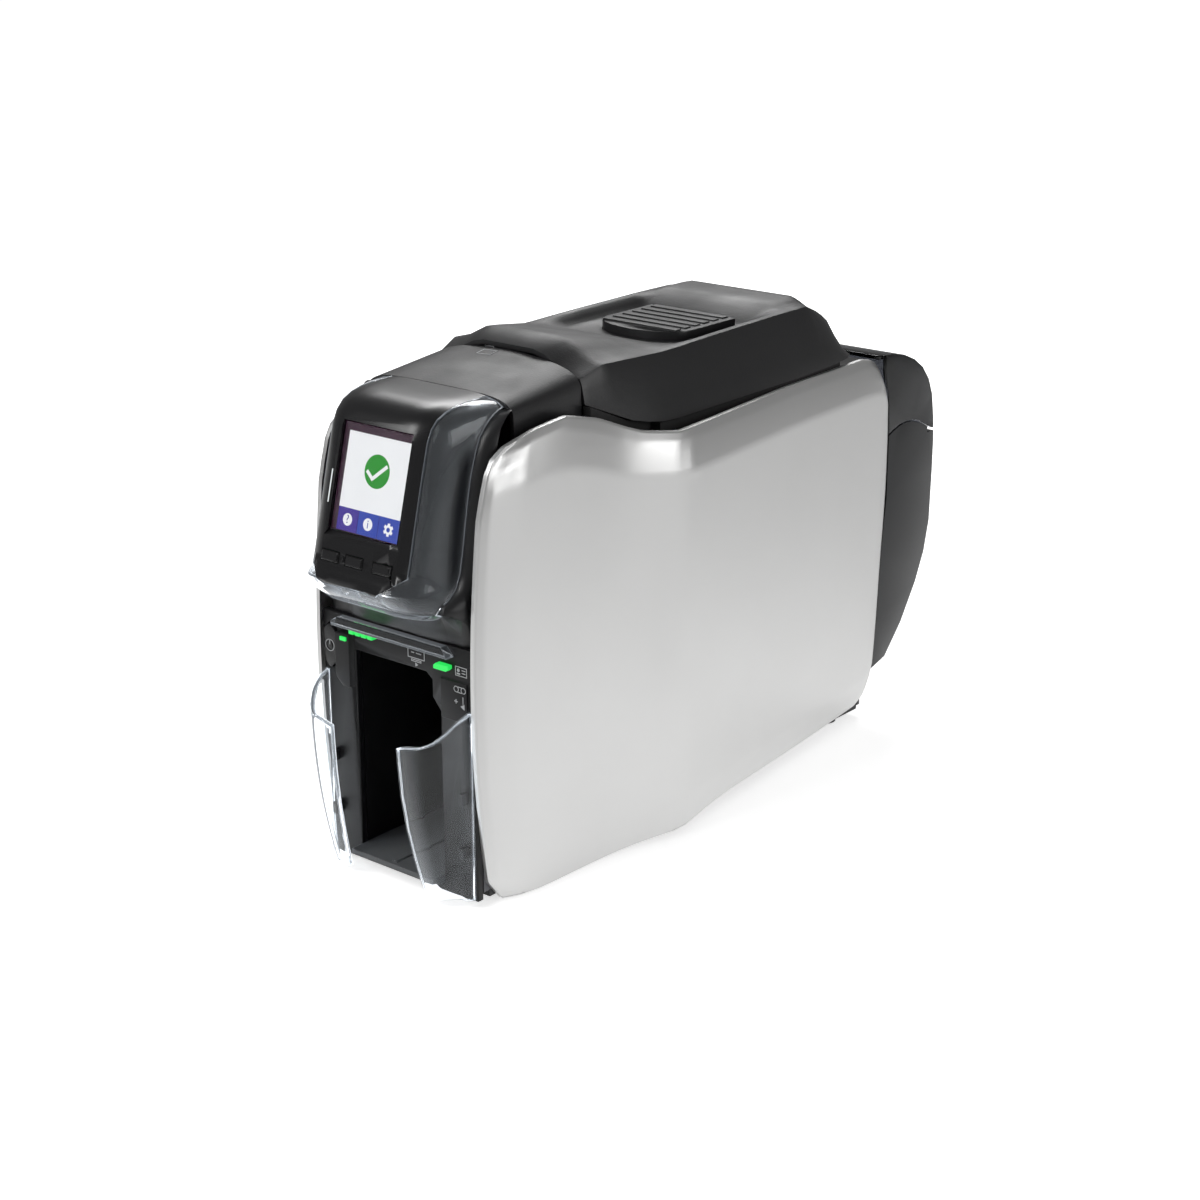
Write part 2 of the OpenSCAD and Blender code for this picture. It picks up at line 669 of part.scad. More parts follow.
cover_ys = [-146.9, -140, -128, -114, -98.6];
function cover_half(y, t) = let (r = (y + 147) / 48.4) [
    [47.2 - t, 221],
    [46.8 - t, mix(236, 240, r)],
    [46.3 - t, mix(239.4, 243.6, r) - t / 2],
    [43, mix(241.6, 246.6, r) - t],
    [39, mix(243.4, 248.6, r) - t],
    [30, mix(244.7, 251, r) - t],
    [15, mix(245, 252.6, r) - t],
    [0, mix(245, 253.2, r) - t]];
function cover_grid(t) = [for (y = cover_ys) [for (p = both_halves(cover_half(y, t))) P(p[0], y, p[1])]];
module front_top_cover() {
    color([0.10, 0.10, 0.11])
    skin(cover_grid(0), cover_grid(cover_t));
}

// ---- parts carried by the lid ------------------------------------------
liner_z = 229;
liner_top = 231.4;
latch_back = 49.5;
latch_half = 28;
latch_top = 248.4;
latch_foot = 238;
latch_travel = 2.5;
function latch_outline(g) = concat([[latch_half + g, latch_back + g], [-latch_half - g, latch_back + g]],
    [for (a = [180:15:360]) [(latch_half + g) * cos(a), 12 + (17 + g) * sin(a)]]);

module lid_liner() {
    color([0.25, 0.25, 0.27])
    difference() {
        union() {
            box(-42, 42, -78, 98, liner_z, liner_top);
            for (x = [-34, 34])
                box(x - 1.5, x + 1.5, -4, 44, liner_top, 240.3);
            for (s = [-1, 1])
                translate([s * X(39) - 2, 0, 0]) {
                    rotate([90, 0, 90])
                    linear_extrude(height = 4)
                    polygon([[Y(86), Z(liner_z)], [Y(98), Z(liner_z)], [Y(hinge_y) - 3, Z(hinge_z)],
                        [Y(hinge_y) + 3, Z(hinge_z)], [Y(hinge_y) + 1, Z(hinge_z) + 3.4],
                        [Y(104), Z(liner_top)], [Y(86), Z(liner_top)]]);
                    translate([0, Y(hinge_y), Z(hinge_z)])
                    rotate([0, 90, 0])
                    cylinder(r = 3.6, h = 4, $fn = 40);
                }
        }
        rod(-46, 46, hinge_y, hinge_z, hinge_r + run_fit);
    }
}

module latch_button() {
    color([0.12, 0.12, 0.13])
    union() {
        plate_xy(latch_foot, latch_top - 0.8, latch_outline(0));
        for (y = [6:8:46])
            plate_xy(latch_top - 0.8, latch_top, [[-24, y - 2.4], [24, y - 2.4], [24, y + 2.4], [-24, y + 2.4]]);
    }
}

hook_x = 38;
hook_t = 3.5;
module latch_hooks() {
    color([0.3, 0.3, 0.32])
    mirror_pair()
        translate([X(hook_x) - hook_x, 0, 0])
        rotate([90, 0, 90])
        translate([0, 0, hook_x])
        linear_extrude(height = hook_t)
        polygon([for (p = [[-76, liner_z], [-76, 214], [-79, 212], [-79, 209], [-70, 209], [-68, liner_z]])
            [Y(p[0]), Z(p[1])]]);
}

head_half = 26.4;
module head_bracket() {
    color([0.55, 0.56, 0.58])
    union() {
        box(-head_half, head_half, platen_y - 2, platen_y + 2, 112, liner_z - 2);
        box(-head_half, head_half, platen_y - 12, platen_y + 12, liner_z - 2, liner_z);
    }
}

module print_head() {
    color([0.35, 0.3, 0.26])
    plate_yz(-head_half, head_half, [[platen_y - 6, 112], [platen_y - 6, 108], [platen_y - 2, path_z + 0.9],
        [platen_y + 2, path_z + 0.9], [platen_y + 6, 108], [platen_y + 6, 112]]);
}

module head_heat_sink() {
    color([0.62, 0.63, 0.65])
    union() {
        box(-24, 24, platen_y + 2, platen_y + 4, 118, 150);
        for (z = [119:5:149])
            box(-24, 24, platen_y + 4, platen_y + 12, z - 0.8, z + 0.8);
    }
}

// ---- card path ---------------------------------------------------------
module card_guides() {
    color([0.18, 0.18, 0.19])
    mirror_pair() {
        box(lane_w / 2 + 0.1, 31.5, -88, 104, 101, 108);
        box(25.8, lane_w / 2 + 0.1, -88, 104, 101, path_z - 0.4);
        for (y = [-60, 28, 88])
            box(31.5, frame_in, y - 4, y + 4, 101, 104);
    }
}

pulley_x0 = -57;
pulley_x1 = -51.5;
module shaft_with_roller(y, left_end) {
    rod(-25, 25, y, roller_z, roller_r);
    rod(left_end, frame_out + 0.6, y, roller_z, shaft_r);
}

module pulley(y) {
    rod(pulley_x0, pulley_x1, y, roller_z, pulley_r);
}

module platen_roller() {
    color([0.1, 0.1, 0.1]) {
        shaft_with_roller(platen_y, -64);
        pulley(platen_y);
    }
}

module entry_roller() {
    color([0.1, 0.1, 0.1]) {
        shaft_with_roller(entry_y, pulley_x0);
        pulley(entry_y);
    }
}

module exit_roller() {
    color([0.1, 0.1, 0.1]) {
        shaft_with_roller(exit_y, pulley_x0);
        pulley(exit_y);
    }
}

module cleaning_roller() {
    color([0.2, 0.35, 0.6])
    shaft_with_roller(clean_y, -frame_out - 0.6);
}

// toothed wheel with tapered teeth, one tooth or one gap on the line to its mate
module toothed(n, lead) {
    m = 1;
    rp = m * n / 2;
    ra = rp + 0.8 * m;
    rf = rp - 1.1 * m;
    step = 360 / n;
    polygon([for (k = [0:n - 1]) for (q = [[-0.3, rf], [-0.125, ra], [0.125, ra], [0.3, rf]])
        let (a = lead + (k + q[0] * 0.86) * step) [q[1] * cos(a), q[1] * sin(a)]]);
}

motor_shaft_r = 1.8;
gear_x0 = -63;
gear_x1 = -59;
mesh_angle = atan2(motor_z - roller_z, motor_y - platen_y);
module drive_gear() {
    color([0.85, 0.84, 0.8])
    translate([X(gear_x0), Y(platen_y), Z(roller_z)])
    rotate([90, 0, 90])
    linear_extrude(height = gear_x1 - gear_x0)
    difference() {
        toothed(36, mesh_angle);
        circle(r = shaft_r, $fn = 48);
        for (a = [0:60:300])
            rotate(a + 30)
            translate([9.5, 0])
            circle(r = 3, $fn = 32);
    }
}

module motor_pinion() {
    color([0.75, 0.6, 0.3]) {
        translate([X(gear_x0), Y(motor_y), Z(motor_z)])
        rotate([90, 0, 90])
        linear_extrude(height = gear_x1 - gear_x0)
        toothed(12, mesh_angle + 180 + 15);
        rod(gear_x1 - 0.5, -42.5, motor_y, motor_z, motor_shaft_r);
    }
}

module drive_motor() {
    color([0.4, 0.4, 0.42])
    difference() {
        union() {
            rod(-frame_in, -19, motor_y, motor_z, 14.5);
            rod(-19, -16, motor_y, motor_z, 5);
        }
        rod(-frame_in - 1, -42, motor_y, motor_z, motor_shaft_r + run_fit);
    }
}

belt_gap = 0.25;
module belt_shape(r, y0, y1) {
    translate([y0, 0])
    circle(r = r, $fn = 64);
    translate([y1, 0])
    circle(r = r, $fn = 64);
    translate([y0, -r])
    square([y1 - y0, 2 * r]);
}

module drive_belt() {
    color([0.06, 0.06, 0.06])
    translate([X(pulley_x0), 0, Z(roller_z)])
    rotate([90, 0, 90])
    linear_extrude(height = pulley_x1 - pulley_x0)
    difference() {
        belt_shape(pulley_r + belt_gap + 1.2, Y(exit_y), Y(entry_y));
        belt_shape(pulley_r + belt_gap, Y(exit_y), Y(entry_y));
    }
}

module spindle(y) {
    rod(-42, 30, y, spindle_z, hub_r);
    rod(-44, -42, y, spindle_z, hub_r + 5);
    rod(-frame_out - 0.6, -44, y, spindle_z, 4);
    rod(30, frame_out + 0.6, y, spindle_z, 4);
    for (a = [0:90:270])
        translate([X(-40), Y(y), Z(spindle_z)])
        rotate([a, 0, 0])
        translate([0, hub_r - 1, -0.8])
        cube([60, 2.2, 1.6]);
}

module supply_spindle() {
    color([0.8, 0.8, 0.78])
    spindle(supply_y);
}

module takeup_spindle() {
    color([0.8, 0.8, 0.78])
    spindle(takeup_y);
}

// ---- boards and power --------------------------------------------------
module main_board() {
    color([0.05, 0.32, 0.14]) {
        box(40, 41.6, -40, 106, 16, 88);
        for (y = [-32, 98])
            for (z = [24, 80])
                rod(41.6, frame_in, y, z, 3);
        box(35, 40, -10, 14, 40, 64);
        box(37, 40, 30, 46, 30, 42);
        box(37, 40, 56, 78, 52, 66);
        box(33, 40, -36, -26, 30, 70);
    }
}

module power_supply() {
    color([0.55, 0.56, 0.58])
    difference() {
        box(-40, 24, 30, 122, base_top, 42);
        for (y = [40:8:112])
            box(-30, 14, y - 1.5, y + 1.5, 40, 43);
    }
}

rear_t = 3;
module rear_panel() {
    color([0.14, 0.14, 0.15])
    difference() {
        union() {
            box(-frame_out, frame_out, rear_y, rear_y + rear_t, base_top - 2, deck_z - 1);
            box(-53.5, 53.5, rear_y, rear_y + rear_t, tuck_foot, tuck_head - 4);
        }
        box(-33, 33, rear_y - 1, rear_y + rear_t + 1, 98, deck_z);
        translate([X(-30), Y(rear_y) - 1, 17.5])
        rotate([-90, 0, 0])
        cylinder(r = 6.2, h = 5, $fn = 40);
        box(-11.2, 1.2, rear_y - 1, rear_y + rear_t + 1, port_floor, 22.2);
        box(9.8, 26.2, rear_y - 1, rear_y + rear_t + 1, port_floor, 25.2);
    }
}

module power_inlet() {
    color([0.05, 0.05, 0.05])
    difference() {
        union() {
            box(-37, -23, port_front, rear_y, port_floor, 24);
            translate([X(-30), Y(rear_y) - 1, 17.5])
            rotate([-90, 0, 0])
            cylinder(r = 6, h = 4.6, $fn = 40);
        }
        translate([X(-30), Y(rear_y) - 7, 17.5])
        rotate([-90, 0, 0])
        difference() {
            cylinder(r = 4.2, h = 12, $fn = 40);
            cylinder(r = 1.3, h = 8, $fn = 24);
        }
    }
}

module data_ports() {
    color([0.7, 0.7, 0.72]) {
        difference() {
            box(-11, 1, port_front, rear_y + rear_t + 0.4, port_floor, 22);
            box(-9.5, -0.5, 138, rear_y + 4, 12.5, 20.5);
        }
        difference() {
            box(10, 26, port_front, rear_y + rear_t + 0.4, port_floor, 25);
            box(11.8, 24.2, 137, rear_y + 4, 12.8, 21.5);
        }
    }
}

// ---- card input --------------------------------------------------------
mag_front = 105.5;
mag_back = 199;
mag_floor = 101;
mag_top = 188;
module input_magazine() {
    color([0.16, 0.16, 0.17])
    difference() {
        union() {
            box(-30.4, 30.4, mag_front, mag_back, mag_floor, mag_top);
            for (s = [0, 1])
                mirror([s, 0, 0])
                box(30.4, frame_in, 127, 135, mag_floor, 105);
        }
        box(-lane_w / 2 - 0.2, lane_w / 2 + 0.2, 108, 196.5, path_z - 0.4, mag_top + 1);
        box(-lane_w / 2 - 0.2, lane_w / 2 + 0.2, mag_front - 1, 109, path_z - 0.4, path_z + 3);
        box(-26, 26, mag_front - 1, 124, mag_floor - 1, path_z);
        box(-20, 20, 190, mag_back + 1, 118, mag_top + 1);
        box(-32, 32, 138, 178, 130, mag_top + 1);
        box(-32, 32, 184, mag_back + 1, 165, mag_top + 1);
    }
}

module card_weight() {
    color([0.3, 0.3, 0.32])
    union() {
        box(-26.6, 26.6, 126, 195, path_z - 0.4, path_z + 2.6);
        box(-8, 8, 156, 160, path_z + 2.6, path_z + 12);
    }
}

// ---- rear hopper -------------------------------------------------------
tail_x = 56.2;
tuck_x = tail_x - hopper_t;
tail_front = 149;
tuck_foot = 44;
tuck_head = 186;
// rear edge of the side panel, set back by a distance
function behind_panel(g) = [for (k = [len(panel_rear_knots) - 1:-1:0])
    [panel_rear_knots[k][1] + g, panel_rear_knots[k][0]]];
tail_path = [[tail_front, 213.5], [160, 213], [172, 210.5], [183, 206], [192, 200], [199, 192], [203.5, 182],
    [206, 168], [207, 154], [207, 136], [206.2, 106], [202, 88], [194, 71], [180, 50], [164, 33],
    [tail_front, 29]];
hinge2_y = 205;
hinge2_z = 157;
seam_z = 160;
// height of the arched seam between the hopper and its door
function seam_at(y) = seam_z + 11 * sin(180 * clampv((y - 146) / 61, 0, 1));
seam_ys = [tail_front - 2, 156, 163, 170, 177, 184, 191, 198, 204, 210];
function tail_in(p, t) = let (c = [tail_front, 130], v = p - c) p[0] <= tail_front + 0.1
    ? [p[0] - 1, p[1] + (p[1] > 120 ? -t : t)]
    : c + v * (1 - t / norm([v[0] * 1.02, v[1] * 0.94]));
module tail_solid(t) {
    plate_yz(-tail_x + t, tail_x - t, [for (p = tail_path) t > 0 ? tail_in(p, t) : p]);
}

// room that a side panel and a gap behind it take up, seen from the side
function panel_zone(g) = concat([[tail_front - 2, 18], [tail_front - 2, 225], [panel_rt[0] + g, 225]],
    behind_panel(g), [[panel_rb[0] + g, 18]]);
tuck_outline = concat([[tail_front, tuck_foot], [tail_front, tuck_head], [panel_rt[0] + 5, tuck_head]],
    [for (q = behind_panel(4)) if (q[1] > tuck_foot && q[1] < tuck_head) q], [[tail_front + 5, tuck_foot]]);
panel_gap = 1.2;
tuck_relief = 1.1;

// hollow hopper before it is split along the seam, stepped in where it tucks behind the panels
module tail_shell() {
    difference() {
        tail_solid(0);
        tail_solid(hopper_t);
        mirror_pair()
            plate_yz(tuck_x, tail_x + 1, panel_zone(panel_gap));
    }
    mirror_pair()
        difference() {
            plate_yz(tuck_x - hopper_t, tuck_x, tuck_outline);
            plate_yz(tuck_x - tuck_relief, tuck_x + 1, panel_zone(panel_gap));
        }
}

module knuckles(lo, hi, r, slots) {
    for (k = slots)
        difference() {
            union() {
                rod(k - 7.7, k + 7.7, hinge2_y, hinge2_z, r);
                box(k - 7.7, k + 7.7, hinge2_y - 1.2, hinge2_y + 1, lo, hi);
            }
            rod(k - 9, k + 9, hinge2_y, hinge2_z, 1.2 + run_fit);
        }
}

module rear_hopper_body() {
    color([0.14, 0.14, 0.15])
    union() {
        difference() {
            tail_shell();
            plate_yz(-60, 60, concat([for (y = seam_ys) [y, seam_at(y) - skin_gap]], [[215, 240], [140, 240]]));
            box(-40.5, 40.5, 200, 215, hinge2_z - 3, 240);
            box(-60, 60, 200, 215, hinge2_z + 3, 240);
        }
        knuckles(hinge2_z - 3.2, hinge2_z, 2.2, [-32, 0, 32]);
    }
}

module hopper_door() {
    color([0.10, 0.10, 0.11])
    union() {
        difference() {
            tail_shell();
            plate_yz(-60, 60, concat([for (y = seam_ys) [y, seam_at(y) + skin_gap]], [[215, 20], [140, 20]]));
            box(-60, 60, 200, 215, 20, hinge2_z + 3);
        }
        knuckles(hinge2_z, hinge2_z + 6, 2.2, [-16, 16]);
    }
}

module door_hinge_pin() {
    color([0.7, 0.7, 0.72])
    rod(-39.6, 39.6, hinge2_y, hinge2_z, 1.2);
}

screw_at = [[-47, 20], [47, 20], [-44, 150], [44, 150]];
module case_screws() {
    color([0.6, 0.6, 0.62])
    for (p = screw_at)
        translate([X(p[0]), Y(rear_y) + rear_t, Z(p[1])])
        rotate([-90, 0, 0])
        difference() {
            cylinder(r = 3, h = 1.6, $fn = 32);
            translate([0, 0, 0.8])
            cylinder(r = 1.5, h = 1, $fn = 6);
        }
}

base_frame();
rubber_feet();
left_frame();
right_frame();
left_side_panel();
right_side_panel();
bay_surround();
lid_gasket();
front_fascia();
output_chute();
hopper_floor();
output_wing_left();
output_wing_right();
hopper_clips();
light_pipe();
status_leds();
display_frame();
display_bezel();
display_hood();
lcd_module();
lcd_glass();
display_board();
key_left();
key_middle();
key_right();
power_button();
front_top_cover();
lid_shell();
lid_liner();
latch_button();
latch_hooks();
print_head();
head_bracket();
head_heat_sink();
lid_hinge_pin();
card_guides();
platen_roller();
entry_roller();
exit_roller();
cleaning_roller();
drive_gear();
drive_motor();
motor_pinion();
drive_belt();
supply_spindle();
takeup_spindle();
main_board();
power_supply();
rear_panel();
power_inlet();
data_ports();
input_magazine();
card_weight();
rear_hopper_body();
hopper_door();
door_hinge_pin();
case_screws();
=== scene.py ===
# %% [markdown]
# This scene dresses a slim desktop card printer. The mechanical model is loaded first, and every
# new piece is placed around it, in metres, so nothing has to be fitted by eye.

# %% Load the mechanical model
import math
import bmesh
import bpy
from mathutils import Matrix, Vector


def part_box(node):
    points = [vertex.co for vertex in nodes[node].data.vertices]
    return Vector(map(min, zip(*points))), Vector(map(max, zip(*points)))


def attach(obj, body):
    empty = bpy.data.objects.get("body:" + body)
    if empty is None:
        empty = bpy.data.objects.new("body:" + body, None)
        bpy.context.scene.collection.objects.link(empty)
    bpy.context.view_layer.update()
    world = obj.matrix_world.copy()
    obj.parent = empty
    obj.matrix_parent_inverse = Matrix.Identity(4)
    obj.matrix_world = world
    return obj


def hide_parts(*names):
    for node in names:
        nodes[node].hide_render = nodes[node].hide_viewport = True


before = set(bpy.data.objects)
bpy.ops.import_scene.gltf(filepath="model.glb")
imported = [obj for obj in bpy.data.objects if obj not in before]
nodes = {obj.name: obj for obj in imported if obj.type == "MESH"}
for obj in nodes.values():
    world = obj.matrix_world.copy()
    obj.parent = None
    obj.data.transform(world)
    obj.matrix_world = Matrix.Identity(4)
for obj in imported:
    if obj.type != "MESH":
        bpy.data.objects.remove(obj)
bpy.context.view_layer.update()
scene = bpy.context.scene
scene.view_settings.view_transform = "Standard"
MM = 0.001

# %% [markdown]
# The camera stands where the photographer stood: to the printer's right, above its front. A lens
# of about 70 mm gives the same mild perspective. The direction is worked out from two angles, which
# is easier to correct than a rotation typed in by hand.

# %% Camera
AZIMUTH = math.radians(39.5)
ELEVATION = math.radians(19.0)
FOCAL_PIXELS = 2320.2
FRAME_PIXELS = 1200
SENSOR_MM = 36
AIM_PIXEL = (638.6, 540.7)
AIM_HEIGHT = 0.135
AIM_DISTANCE = 1.2735
BODY_SCALE = 0.97
BODY_SHIFT = 0.0066

forward = Vector((-math.sin(AZIMUTH) * math.cos(ELEVATION), math.cos(AZIMUTH) * math.cos(ELEVATION),
                  -math.sin(ELEVATION)))
sideways = Vector((math.cos(AZIMUTH), math.sin(AZIMUTH), 0))
upward = sideways.cross(forward)
off_x = (AIM_PIXEL[0] - FRAME_PIXELS / 2) / FOCAL_PIXELS * AIM_DISTANCE
off_y = (AIM_PIXEL[1] - FRAME_PIXELS / 2) / FOCAL_PIXELS * AIM_DISTANCE
eye = Vector((0, 0, AIM_HEIGHT)) - forward * AIM_DISTANCE - sideways * off_x + upward * off_y
eye = eye * BODY_SCALE + Vector((0, BODY_SHIFT, 0))

lens_data = bpy.data.cameras.new("photo_camera")
lens_data.sensor_width = SENSOR_MM
lens_data.lens = FOCAL_PIXELS / FRAME_PIXELS * SENSOR_MM
camera = bpy.data.objects.new("photo_camera", lens_data)
camera.location = eye
camera.rotation_euler = forward.to_track_quat("-Z", "Y").to_euler()
scene.collection.objects.link(camera)
scene.camera = camera
print("Camera at", [round(v, 3) for v in eye], "lens", round(lens_data.lens, 2))

# %% [markdown]
# Operators work on whatever is selected, and the loaded nodes start out selected. These helpers
# clear the selection and pick one object, so each later step acts on one thing only.

# %% Selection helpers
def pick_nothing():
    bpy.ops.object.select_all(action="DESELECT")


def pick(obj):
    pick_nothing()
    obj.select_set(True)
    bpy.context.view_layer.objects.active = obj
    return obj


def edit(obj, mode="FACE"):
    pick(obj)
    bpy.ops.object.mode_set(mode="EDIT")
    bpy.ops.mesh.select_mode(type=mode)
    bpy.ops.mesh.select_all(action="SELECT")


def leave_edit():
    bpy.ops.object.mode_set(mode="OBJECT")


def apply_modifiers(obj):
    pick(obj)
    for name in [m.name for m in obj.modifiers]:
        bpy.ops.object.modifier_apply(modifier=name)


def settle(obj):
    """Puts the piece's place into its mesh, with the object itself at the origin."""
    pick(obj)
    bpy.ops.object.transform_apply(location=True, rotation=True, scale=True)
    return obj


pick_nothing()
print("Helpers ready")

# %% [markdown]
# Moulded plastic is never quite flat: it has a fine spark texture and faint patches where the
# sheen changes. One node group makes both from noise, and each material takes what it needs.

# %% Node group for moulded grain
def new_group(name, inputs, outputs):
    group = bpy.data.node_groups.new(name, "ShaderNodeTree")
    for label, value in inputs.items():
        socket = group.interface.new_socket(name=label, in_out="INPUT", socket_type="NodeSocketFloat")
        socket.default_value = value
    for label in outputs:
        group.interface.new_socket(name=label, in_out="OUTPUT", socket_type="NodeSocketFloat")
    start = group.nodes.new("NodeGroupInput")
    end = group.nodes.new("NodeGroupOutput")
    return group, start, end


def add_node(tree, kind, **settings):
    node = tree.nodes.new(kind)
    for key, value in settings.items():
        setattr(node, key, value)
    return node


def maths(tree, operation, first, second=None, third=None, clamp=False):
    node = add_node(tree, "ShaderNodeMath", operation=operation, use_clamp=clamp)
    for socket, value in zip(node.inputs, (first, second, third)):
        if value is None:
            continue
        if isinstance(value, (int, float)):
            socket.default_value = value
        else:
            tree.links.new(value, socket)
    return node.outputs[0]


grain_group, start, end = new_group("moulded_grain", {"Size": 900.0, "Patch Size": 14.0},
                                    ["Height", "Patch"])
place = add_node(grain_group, "ShaderNodeTexCoord")
fine = add_node(grain_group, "ShaderNodeTexNoise")
fine.inputs["Detail"].default_value = 2.0
broad = add_node(grain_group, "ShaderNodeTexNoise")
broad.inputs["Detail"].default_value = 3.0
for noise, size in ((fine, "Size"), (broad, "Patch Size")):
    grain_group.links.new(place.outputs["Object"], noise.inputs["Vector"])
    grain_group.links.new(start.outputs[size], noise.inputs["Scale"])
grain_group.links.new(fine.outputs["Fac"], end.inputs["Height"])
grain_group.links.new(broad.outputs["Fac"], end.inputs["Patch"])
print("Group:", grain_group.name)

# %% [markdown]
# Dust settles on faces that look upward. This group turns the surface direction and a soft noise
# into a mask from 0 to 1, which the materials use to lift their roughness a little.

# %% Node group for settled dust
dust_group, start, end = new_group("settled_dust", {"Amount": 0.3}, ["Mask"])
place = add_node(dust_group, "ShaderNodeTexCoord")
cloud = add_node(dust_group, "ShaderNodeTexNoise")
cloud.inputs["Scale"].default_value = 45.0
cloud.inputs["Detail"].default_value = 5.0
dust_group.links.new(place.outputs["Object"], cloud.inputs["Vector"])
facing = add_node(dust_group, "ShaderNodeNewGeometry")
split = add_node(dust_group, "ShaderNodeSeparateXYZ")
dust_group.links.new(facing.outputs["Normal"], split.inputs[0])
upward_face = maths(dust_group, "MULTIPLY_ADD", split.outputs["Z"], 1.6, -0.6, clamp=True)
speckled = maths(dust_group, "MULTIPLY", upward_face, cloud.outputs["Fac"])
masked = maths(dust_group, "MULTIPLY", speckled, start.outputs["Amount"], clamp=True)
dust_group.links.new(masked, end.inputs["Mask"])
print("Group:", dust_group.name)

# %% [markdown]
# Most of the printer is black or grey plastic that differs only in colour, sheen and grain. One
# function builds such a material from those numbers, so the finishes stay consistent.

# %% Plastic and metal finishes
def new_material(name):
    material = bpy.data.materials.new(name)
    material.use_nodes = True
    tree = material.node_tree
    shader = tree.nodes["Principled BSDF"]
    return material, tree, shader


COLOUR_A = 6
COLOUR_B = 7
COLOUR_RESULT = 2


def two_tones(tree, factor, dark, light):
    mix = add_node(tree, "ShaderNodeMix", data_type="RGBA")
    tree.links.new(factor, mix.inputs[0])
    mix.inputs[COLOUR_A].default_value = (*dark, 1)
    mix.inputs[COLOUR_B].default_value = (*light, 1)
    return mix.outputs[COLOUR_RESULT]


def finish(name, colour, roughness, grain=900.0, depth=0.15, metallic=0.0, coat=0.0, dust=0.3,
           vary=0.12, shine=0.5):
    material, tree, shader = new_material(name)
    texture = add_node(tree, "ShaderNodeGroup", node_tree=grain_group)
    texture.inputs["Size"].default_value = grain
    settled = add_node(tree, "ShaderNodeGroup", node_tree=dust_group)
    settled.inputs["Amount"].default_value = dust
    dark = [c * (1 - vary) for c in colour]
    light = [min(1, c * (1 + vary) + 0.004) for c in colour]
    tree.links.new(two_tones(tree, texture.outputs["Patch"], dark, light), shader.inputs["Base Color"])
    rough = maths(tree, "MULTIPLY_ADD", texture.outputs["Patch"], 0.10, roughness - 0.05)
    rough = maths(tree, "ADD", rough, settled.outputs["Mask"], clamp=True)
    tree.links.new(rough, shader.inputs["Roughness"])
    bump = add_node(tree, "ShaderNodeBump")
    bump.inputs["Strength"].default_value = depth
    bump.inputs["Distance"].default_value = 0.0002
    tree.links.new(texture.outputs["Height"], bump.inputs["Height"])
    tree.links.new(bump.outputs["Normal"], shader.inputs["Normal"])
    shader.inputs["Metallic"].default_value = metallic
    shader.inputs["Coat Weight"].default_value = coat
    shader.inputs["Specular IOR Level"].default_value = shine
    return material


black_housing = finish("black_housing", (0.008, 0.008, 0.009), 0.36, depth=0.06)
black_lid = finish("black_lid", (0.011, 0.011, 0.012), 0.36, grain=1100, depth=0.35)
black_front = finish("black_front", (0.005, 0.005, 0.006), 0.42, depth=0.03, shine=0.3)
dark_liner = finish("dark_liner", (0.004, 0.004, 0.0045), 0.55, shine=0.2)
grey_plate = finish("grey_plate", (0.10, 0.105, 0.11), 0.5)
base_plastic = finish("base_plastic", (0.015, 0.015, 0.016), 0.55)
black_rubber = finish("black_rubber", (0.012, 0.012, 0.012), 0.75, depth=0.4)
painted_plate = finish("painted_plate", (0.10, 0.10, 0.11), 0.45, metallic=0.4)
gloss_bezel = finish("gloss_bezel", (0.006, 0.006, 0.007), 0.26, depth=0.08, dust=0.1)
gloss_key = finish("gloss_key", (0.008, 0.008, 0.009), 0.12, depth=0.0, coat=0.6, dust=0.05)
circuit_board = finish("circuit_board", (0.01, 0.13, 0.05), 0.4)
bright_steel = finish("bright_steel", (0.55, 0.55, 0.57), 0.3, metallic=1.0)
fin_aluminium = finish("fin_aluminium", (0.62, 0.62, 0.64), 0.35, metallic=1.0)
roller_rubber = finish("roller_rubber", (0.02, 0.02, 0.022), 0.7)
motor_steel = finish("motor_steel", (0.4, 0.4, 0.42), 0.32, metallic=1.0)
gear_plastic = finish("gear_plastic", (0.6, 0.59, 0.54), 0.5)
pinion_brass = finish("pinion_brass", (0.62, 0.45, 0.16), 0.3, metallic=1.0)
inlet_plastic = finish("inlet_plastic", (0.01, 0.01, 0.01), 0.5)
printed_grey = finish("printed_grey", (0.42, 0.43, 0.44), 0.6, depth=0.0)
print("Finishes:", len(bpy.data.materials))

# %% [markdown]
# The side panels are satin silver. Fine lines from the finishing wheel run along them, so the bump
# noise is stretched: it changes quickly up and down, and slowly from front to back.

# %% Satin silver of the side panels
silver_panel, tree, shader = new_material("silver_panel")
place = add_node(tree, "ShaderNodeTexCoord")
stretch = add_node(tree, "ShaderNodeMapping")
stretch.inputs["Scale"].default_value = (1.0, 0.05, 1.0)
tree.links.new(place.outputs["Object"], stretch.inputs["Vector"])
lines = add_node(tree, "ShaderNodeTexNoise")
lines.inputs["Scale"].default_value = 1500.0
lines.inputs["Detail"].default_value = 2.0
tree.links.new(stretch.outputs["Vector"], lines.inputs["Vector"])
texture = add_node(tree, "ShaderNodeGroup", node_tree=grain_group)
texture.inputs["Size"].default_value = 2400.0
tone = two_tones(tree, texture.outputs["Patch"], (0.67, 0.67, 0.665), (0.71, 0.71, 0.705))
tree.links.new(tone, shader.inputs["Base Color"])
sheen = maths(tree, "MULTIPLY_ADD", lines.outputs["Fac"], 0.10, 0.33)
tree.links.new(sheen, shader.inputs["Roughness"])
bump = add_node(tree, "ShaderNodeBump")
bump.inputs["Strength"].default_value = 0.06
bump.inputs["Distance"].default_value = 0.0001
both = maths(tree, "ADD", lines.outputs["Fac"], texture.outputs["Height"])
tree.links.new(both, bump.inputs["Height"])
tree.links.new(bump.outputs["Normal"], shader.inputs["Normal"])
